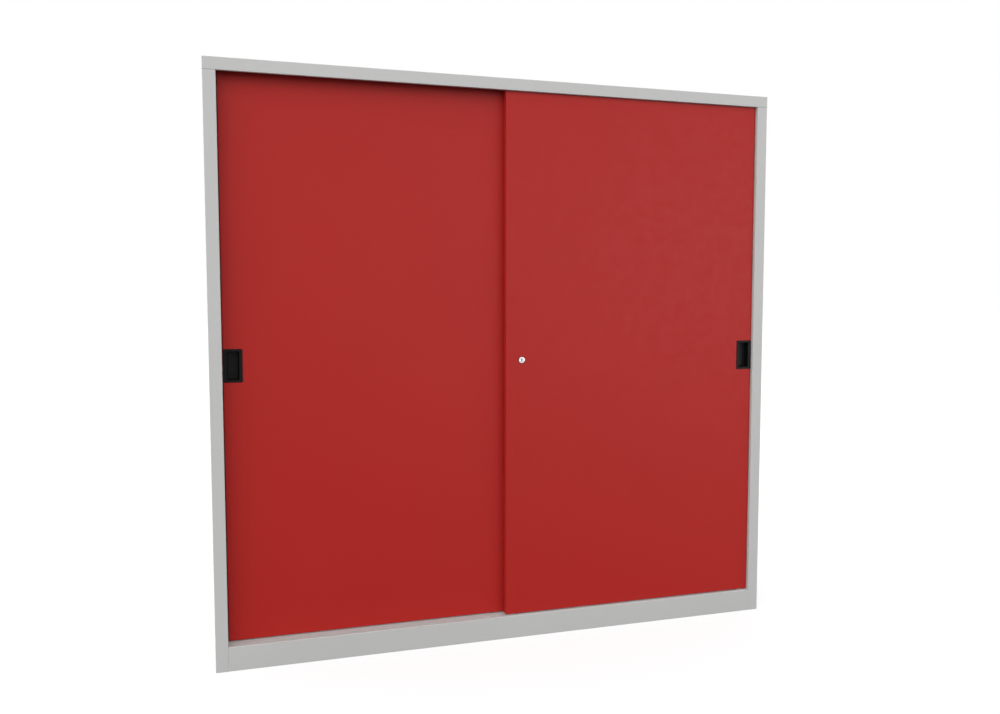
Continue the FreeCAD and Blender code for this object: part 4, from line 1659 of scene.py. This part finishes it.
    def build_hangers(self) -> None:
        """Brackets through the door's top, the screws in their feet and the axles."""
        at, axles = Extent.of(self.node("hangers")), Extent.of(self.node("axles"))
        half, back = self.hanger_length / 2, at.low.y + self.hanger_sheet
        profile = [(at.low.y, at.high.z), (at.low.y, at.low.z), (at.high.y, at.low.z)]
        brackets, screws, pins = [], [], []
        for x in (at.low.x + half, at.high.x - half):
            bracket = folded("hanger", profile, Run.X, x - half, x + half, self.hanger_sheet, self.sheet)
            bracket.pick_edges(lambda a, b: along(AXIS_Y)(a, b) and min(a.z, b.z) > at.high.z - NEAR)
            bracket.round_edges(self.hanger_corner, segments=6)
            centre = Vector((x, 0, axles.middle.z))
            bracket.drill(axles.half("z") + self.bore_play, centre, at.low.y, back, sides=32)
            brackets.append(bracket.ease_edges(2 * self.raw))
            for offset in (-self.screw_spread, self.screw_spread):
                seat = (x + offset, (back + at.high.y) / 2, at.low.z)
                screws.append(screw_head("screw", seat, -AXIS_Z, self.screw_radius, self.screw_height))
            pins.append(self.axle(centre, axles))
        for name, pieces, nodes in (
            ("brackets", brackets, [self.node("hangers")]),
            ("hanger_screws", screws, []),
            ("pins", pins, [self.node("axles")]),
        ):
            Piece.gather(f"{self.door}_{name}", pieces).dress(ZINC, self.body, nodes)

    def axle(self, centre: Vector, at: Extent) -> Piece:
        """Pin with riveted ends, on which a wheel turns.

        Args:
            centre: Any point on its centre line.
            at: Extent of the axles.

        Returns:
            The pin.
        """
        pin = Piece.spindle("axle", at.half("z"), centre, at.low.y, at.high.y, sides=32)
        pin.pick_faces(lambda middle, normal: abs(normal.y) > ALONG)
        bpy.ops.mesh.inset(thickness=self.axle_rim, depth=-self.axle_sink, use_individual=True)
        return pin.ease_edges(self.raw)


@dataclass
class Wheel:
    """Nylon wheel with a dished web and a hub.

    Attributes:
        door: front or rear.
        end: left or right.
        tread_round: Rounding of the tread's edges.
        tyre: Radial thickness of the tyre.
        dish: Depth of the web's dish on each side.
        slope: Width of the dish's outer slope.
        hub_slope: Width of the slope up to the hub.
        hub: Radius of the hub.
        play: Radial play on the axle.
    """

    door: str
    end: str
    tread_round: float = 0.0007
    tyre: float = 0.0018
    dish: float = 0.0009
    slope: float = 0.0004
    hub_slope: float = 0.0002
    hub: float = 0.0042
    play: float = 0.00005

    def build(self) -> None:
        """Turn the wheel from a short bar."""
        node = f"{self.door}_door_{self.end}_wheel"
        at = Extent.of(node)
        radius = at.half("z")
        wheel = Piece.spindle(f"{node}_tyre", radius, at.middle, at.low.y, at.high.y, sides=64)
        wheel.pick_edges(lambda a, b: not along(AXIS_Y)(a, b)).round_edges(self.tread_round)
        for direction, face in ((-AXIS_Y, at.low), (AXIS_Y, at.high)):
            wheel.pick_faces(facing(direction, face))
            wheel.inset(self.tyre - self.tread_round).inset(self.slope, -self.dish)
            wheel.inset(radius - self.tyre - self.slope - self.hub).inset(self.hub_slope, self.dish)
        bore = Extent.of(f"{self.door}_door_axles").half("z") + self.play
        wheel.drill(bore, at.middle, at.low.y, at.high.y, sides=32).dress(NYLON, f"{node}_roller", [node])


# ---- Lock ---------------------------------------------------------------------
@dataclass
class Lock:
    """Chrome barrel with its bezel, key plug, hook cam, nut, screw and catch.

    Attributes:
        bezel: Height of the bezel over the door's face.
        bezel_round: Rounding of the bezel's edge.
        barrel: Radius of the barrel behind it.
        plug: Radius of the key plug.
        play: Radial play of the plug.
        step: Width of the fine step round the plug.
        groove_slope: Width of the slope into that step.
        groove_depth: Depth of the step.
        key_width: Width of the key slot.
        key_height: Height of the key slot.
        key_round: Rounding of its corners, against its width.
        key_depth: Depth of the key slot.
        first_wafer: First wafer behind the plug's face.
        wafer: Thickness of a wafer in the key slot.
        wafer_count: Wafers one behind another.
        wafer_cut: Width and height of a wafer's cut, against those of the key slot.
        wafer_levels: Heights of the cuts in turn, against half the key slot's height.
        shade_ring_radius: Radius of the thin black rubber ring round the bezel, painted shade for the contact
            shadow round it.
        shade_ring_height: Height of that ring.
        shade_ring_round: Rounding of its edge, against its height.
        thread_pitch: Spacing of the barrel's thread.
        thread_depth: Depth of the barrel's thread.
        screw: Radius of the cam screw.
        screw_head: Height of its head.
        eased: Rounding of the small stamped parts.
        pin_round: Rounding of the catch pin's end.
    """

    bezel: float = 0.0035
    bezel_round: float = 0.0013
    barrel: float = 0.009
    plug: float = 0.006
    play: float = 0.00005
    step: float = 0.0012
    groove_slope: float = 0.0003
    groove_depth: float = 0.0004
    key_width: float = 0.0036
    key_height: float = 0.0088
    key_round: float = 0.45
    key_depth: float = 0.020
    first_wafer: float = 0.0005
    wafer: float = 0.0005
    wafer_count: int = 6
    wafer_cut: tuple[float, float] = (0.45, 0.3)
    wafer_levels: tuple[float, float] = (-0.25, 0.2)
    shade_ring_radius: float = 0.0123
    shade_ring_height: float = 0.0006
    shade_ring_round: float = 0.6
    thread_pitch: float = 0.001
    thread_depth: float = 0.0004
    screw: float = 0.002
    screw_head: float = 0.002
    eased: float = 0.0002
    pin_round: float = 0.0006

    def build(self) -> None:
        """Make every piece of the lock and its catch."""
        self.build_housing()
        # painted shade: a thin black ring for the contact shadow round the lock's bezel
        self.build_shade_ring()
        self.build_plug()
        self.build_wafers()
        self.build_nut()
        self.build_screw()
        soften_node("lock_cam", "hook_cam", self.eased, ZINC, "lock", 2)
        soften_node("lock_catch_plate", "catch_plate", self.eased, ZINC, "rear_door", 2)
        self.build_pin()

    def build_housing(self) -> None:
        """Bezel and threaded barrel turned from one bar."""
        at = Extent.of("lock_housing")
        radius, face = at.half("x"), at.low.y + self.bezel
        housing = Piece.spindle("lock_barrel", radius, at.middle, at.low.y, face, sides=72)
        housing.pick_edges(level_with(at.low)).round_edges(self.bezel_round, segments=4)
        housing.pick_faces(facing(-AXIS_Y, at.low)).inset(radius - self.bezel_round - self.plug - self.step)
        housing.inset(self.groove_slope, -self.groove_depth)
        housing.pick_faces(facing(AXIS_Y, Vector((0, face, 0)))).inset(radius - self.barrel)
        self.cut_thread(housing, at.high.y - face)
        housing.drill(self.plug + self.play, at.middle, at.low.y, at.high.y, sides=72)
        housing.dress(CHROME, "front_door", ["lock_housing"])

    def cut_thread(self, housing: Piece, length: float) -> None:
        """Extrude the barrel in short steps that swell and shrink like a thread.

        Args:
            housing: The piece, with the barrel's end face selected.
            length: Length of the barrel.
        """
        turns = int(length / self.thread_pitch)
        at = Extent.of("lock_housing").middle
        root = (self.barrel - self.thread_depth) / self.barrel
        for _ in range(turns):
            housing.extrude((0, self.thread_pitch / 2, 0)).stretch((root, 1, root), at)
            housing.extrude((0, self.thread_pitch / 2, 0)).stretch((1 / root, 1, 1 / root), at)
        housing.extrude((0, length - turns * self.thread_pitch, 0))

    def build_plug(self) -> None:
        """Key plug with a rounded key slot and a thread for the cam screw."""
        at = Extent.of("lock_plug")
        x, z = at.middle.x, at.middle.z
        plug = Piece.spindle("key_plug", self.plug, at.middle, at.low.y, at.high.y, sides=64)
        plug.pick_edges(level_with(at.low)).round_edges(2 * self.eased, segments=2)
        low = (x - self.key_width / 2, at.low.y - PAST, z - self.key_height / 2)
        high = (x + self.key_width / 2, at.low.y + self.key_depth, z + self.key_height / 2)
        start, end = Extent.of("lock_cam_screw").low.y, at.high.y + PAST
        thread = Piece.spindle("thread", self.screw + self.play, at.middle, start, end, sides=24)
        plug.cut(slot_cutter(low, high, AXIS_Y, self.key_round * self.key_width), thread)
        plug.dress(NICKEL, "lock", ["lock_plug"])

    def build_wafers(self) -> None:
        """Stepped wafers inside the key slot, each with its own cut; their near-black colour is painted shade
        for the keyhole's dark inside.
        """
        at = Extent.of("lock_plug")
        x, z = at.middle.x, at.middle.z
        width, height = self.key_width / 2 - self.play, self.key_height / 2 - self.play
        cut_width, cut_height = self.wafer_cut[0] * width, self.wafer_cut[1] * height
        wafers = []
        for index in range(self.wafer_count):
            near = at.low.y + self.first_wafer + 3 * self.wafer * index
            low, high = (x - width, near, z - height), (x + width, near + self.wafer, z + height)
            wafer = Piece.block("wafer", low, high)
            level = z + height * self.wafer_levels[index % 2]
            low = (x - cut_width, near - self.wafer, level - cut_height)
            high = (x + cut_width, near + 2 * self.wafer, level + cut_height)
            wafers.append(wafer.cut(Piece.block("wafer_cut", low, high)))
        Piece.gather("plug_wafers", wafers).dress(KEYHOLE_SHADE_STEEL, "lock")

    def build_shade_ring(self) -> None:
        """Thin black rubber ring round the bezel's foot, painted shade: it stands for the contact shadow
        round the bezel.
        """
        at = Extent.of("lock_housing")
        seat = at.low.y + self.bezel
        lip = seat - self.shade_ring_height
        shade_ring = Piece.spindle("bezel_shade_ring", self.shade_ring_radius, at.middle, lip, seat, sides=64)
        edge = Vector((0, lip, 0))
        shade_ring.pick_edges(level_with(edge)).round_edges(self.shade_ring_round * self.shade_ring_height)
        shade_ring.drill(at.half("x") - 2 * self.play, at.middle, lip, seat).dress(RUBBER, "front_door")

    def build_nut(self) -> None:
        """Hexagon nut with chamfered corners behind the skin."""
        at = Extent.of("lock_nut")
        corner = at.half("z") / math.cos(math.pi / 6)
        nut = Piece.spindle("barrel_nut", corner, at.middle, at.low.y, at.high.y, sides=6)
        nut.turned(math.pi / 6, "Y", at.middle)
        nut.drill(self.barrel + self.play, at.middle, at.low.y, at.high.y).ease_edges(2 * self.eased, 2)
        nut.dress(ZINC, "front_door", ["lock_nut"])

    def build_screw(self) -> None:
        """Pan-head screw that holds the cam on the plug."""
        at = Extent.of("lock_cam_screw")
        middle = at.middle
        seat = min(Extent.of("lock_cam").high.y, at.high.y - self.screw_head)
        head = screw_head("cam_bolt", (middle.x, seat, middle.z), AXIS_Y, at.half("x"), at.high.y - seat)
        shank = Piece.spindle("shank", self.screw, middle, at.low.y, seat + self.eased, sides=24)
        head.join(shank).dress(ZINC, "lock", ["lock_cam_screw"])

    def build_pin(self) -> None:
        """Catch pin with a rounded end."""
        at = Extent.of("lock_catch_pin")
        pin = Piece.spindle("catch_stud", at.half("x"), at.middle, at.low.y, at.high.y, sides=40)
        pin.pick_edges(level_with(at.low)).round_edges(self.pin_round)
        pin.dress(ZINC, "rear_door", ["lock_catch_pin"])


# ---- Studio -------------------------------------------------------------------
@dataclass(frozen=True)
class Softbox:
    """Flat soft light on a stand.

    Attributes:
        name: Name of the light.
        place: Its middle.
        aim: Point that it faces.
        width: Its width.
        height: Its height.
        power: Its power in watts.
        gloss_only: Whether it shows in reflections and lights nothing else.
    """

    name: str
    place: tuple[float, float, float]
    aim: tuple[float, float, float]
    width: float
    height: float
    power: float
    gloss_only: bool = False

    def build(self) -> None:
        """Set up the light, out of the camera's sight."""
        data = bpy.data.lights.new(self.name, "AREA")
        data.shape = "RECTANGLE"
        data.size, data.size_y = self.width, self.height
        data.energy = self.power
        light = bpy.data.objects.new(self.name, data)
        light.location = self.place
        light.rotation_euler = (Vector(self.aim) - light.location).to_track_quat("-Z", "Y").to_euler()
        light.visible_camera = False
        light.visible_diffuse = not self.gloss_only
        bpy.context.scene.collection.objects.link(light)


@dataclass(frozen=True)
class Studio:
    """Floor, lights, world and camera.

    Attributes:
        camera_place: Where the camera stands.
        camera_turn: Its rotation in degrees.
        focal_length: Its focal length in millimetres.
        sensor_width: Width of its sensor in millimetres.
        sight: How far it sees.
        sky: Strength of the sky at the horizon.
        sky_falloff: How much darker the sky is overhead.
        sky_lean: How much darker the sky is on the right than in the middle.
        floor_size: Length of the floor's sides.
        floor_bounce: How much light the floor gives back.
        floor_glow: Share of the floor's white that no shadow takes away.
        softboxes: One light over the front, and two far ones that the coats mirror,
            clear of the place that the flat face of the lock mirrors.
    """

    camera_place: tuple[float, float, float] = (-0.95688, -3.20957, 1.22708)
    camera_turn: tuple[float, float, float] = (85.8407, 0.0, -17.1816)
    focal_length: float = 32.345
    sensor_width: float = 36.0
    sight: float = 200.0
    sky: float = 2.06
    sky_falloff: float = 0.5
    sky_lean: float = 0.42
    floor_size: float = 80.0
    floor_bounce: float = 0.12
    floor_glow: float = 0.75
    softboxes: tuple[Softbox, ...] = (
        Softbox("front_light", (-1.3, -3.6, 4.2), (0.0, -0.25, 1.0), 4.0, 2.5, 22.0),
        Softbox("near_reflection", (0.95, -6.2, 1.65), (0.95, 0.0, 1.65), 0.9, 3.3, 28.0, True),
        Softbox("far_reflection", (4.70, -6.2, 1.55), (4.70, 0.0, 1.55), 3.8, 3.1, 190.0, True),
    )

    def build(self) -> None:
        """Set up the studio."""
        self.build_camera()
        self.build_world()
        self.build_floor()
        for softbox in self.softboxes:
            softbox.build()
        bpy.context.scene.view_settings.view_transform = "Standard"

    def build_camera(self) -> None:
        """Camera at a standing viewer's place, left of the middle."""
        data = bpy.data.cameras.new("camera")
        data.lens = self.focal_length
        data.sensor_width = self.sensor_width
        data.clip_end = self.sight
        camera = bpy.data.objects.new("camera", data)
        camera.location = self.camera_place
        camera.rotation_euler = [math.radians(angle) for angle in self.camera_turn]
        bpy.context.scene.collection.objects.link(camera)
        bpy.context.scene.camera = camera

    def build_world(self) -> None:
        """White to look at; as light, a sky brightest at the horizon and on the left."""
        world = bpy.data.worlds.new("studio")
        bpy.context.scene.world = world
        tree = NodeTree(world, "ShaderNodeOutputWorld")
        sight = tree.add("ShaderNodeTexCoord").outputs["Generated"]
        direction = tree.add("ShaderNodeSeparateXYZ", sight).outputs
        ends = {"To_Min": self.sky, "To_Max": self.sky * (1 - self.sky_falloff)}
        fade = tree.add("ShaderNodeMapRange", direction["Z"], From_Min=0.0, From_Max=1.0, **ends)
        lean = tree.compute("MULTIPLY_ADD", direction["X"], -self.sky_lean, 1.0)
        light = tree.compute("MULTIPLY", fade.outputs["Result"], lean)
        strength = tree.add("ShaderNodeMix", Factor=tree.seen_directly(), A=light, B=1.0)
        tree.show(tree.add("ShaderNodeBackground", Color=(1, 1, 1, 1), Strength=strength.outputs[0]))

    def build_floor(self) -> None:
        """Large floor that looks white, keeps a soft shadow and gives back little light."""
        Piece.clear_bench()
        bpy.ops.mesh.primitive_plane_add(size=self.floor_size)
        floor = bpy.context.object
        floor.name = "studio_floor"
        material = bpy.data.materials.new("studio floor")
        tree = NodeTree(material, "ShaderNodeOutputMaterial")
        white, dull = (
            tree.add("ShaderNodeBsdfDiffuse", Color=(tone, tone, tone, 1)).outputs[0]
            for tone in (1 - self.floor_glow, self.floor_bounce)
        )
        glow = tree.add("ShaderNodeEmission", Strength=self.floor_glow).outputs[0]
        shown = tree.add("ShaderNodeAddShader", white, glow).outputs[0]
        tree.show(tree.add("ShaderNodeMixShader", tree.seen_directly(), dull, shown))
        floor.data.materials.append(material)


def main() -> None:
    """Build the cabinet from the body inwards, then the doors, the lock and the studio."""
    logging.basicConfig(level=logging.INFO, format="%(name)s: %(message)s")
    Shell().build()
    Shelving().build()
    Tracks().build()
    for door in ("front", "rear"):
        SlidingDoor(door).build()
    Lock().build()
    Studio().build()
    Piece.clear_bench()


if __name__ == "__main__":
    main()
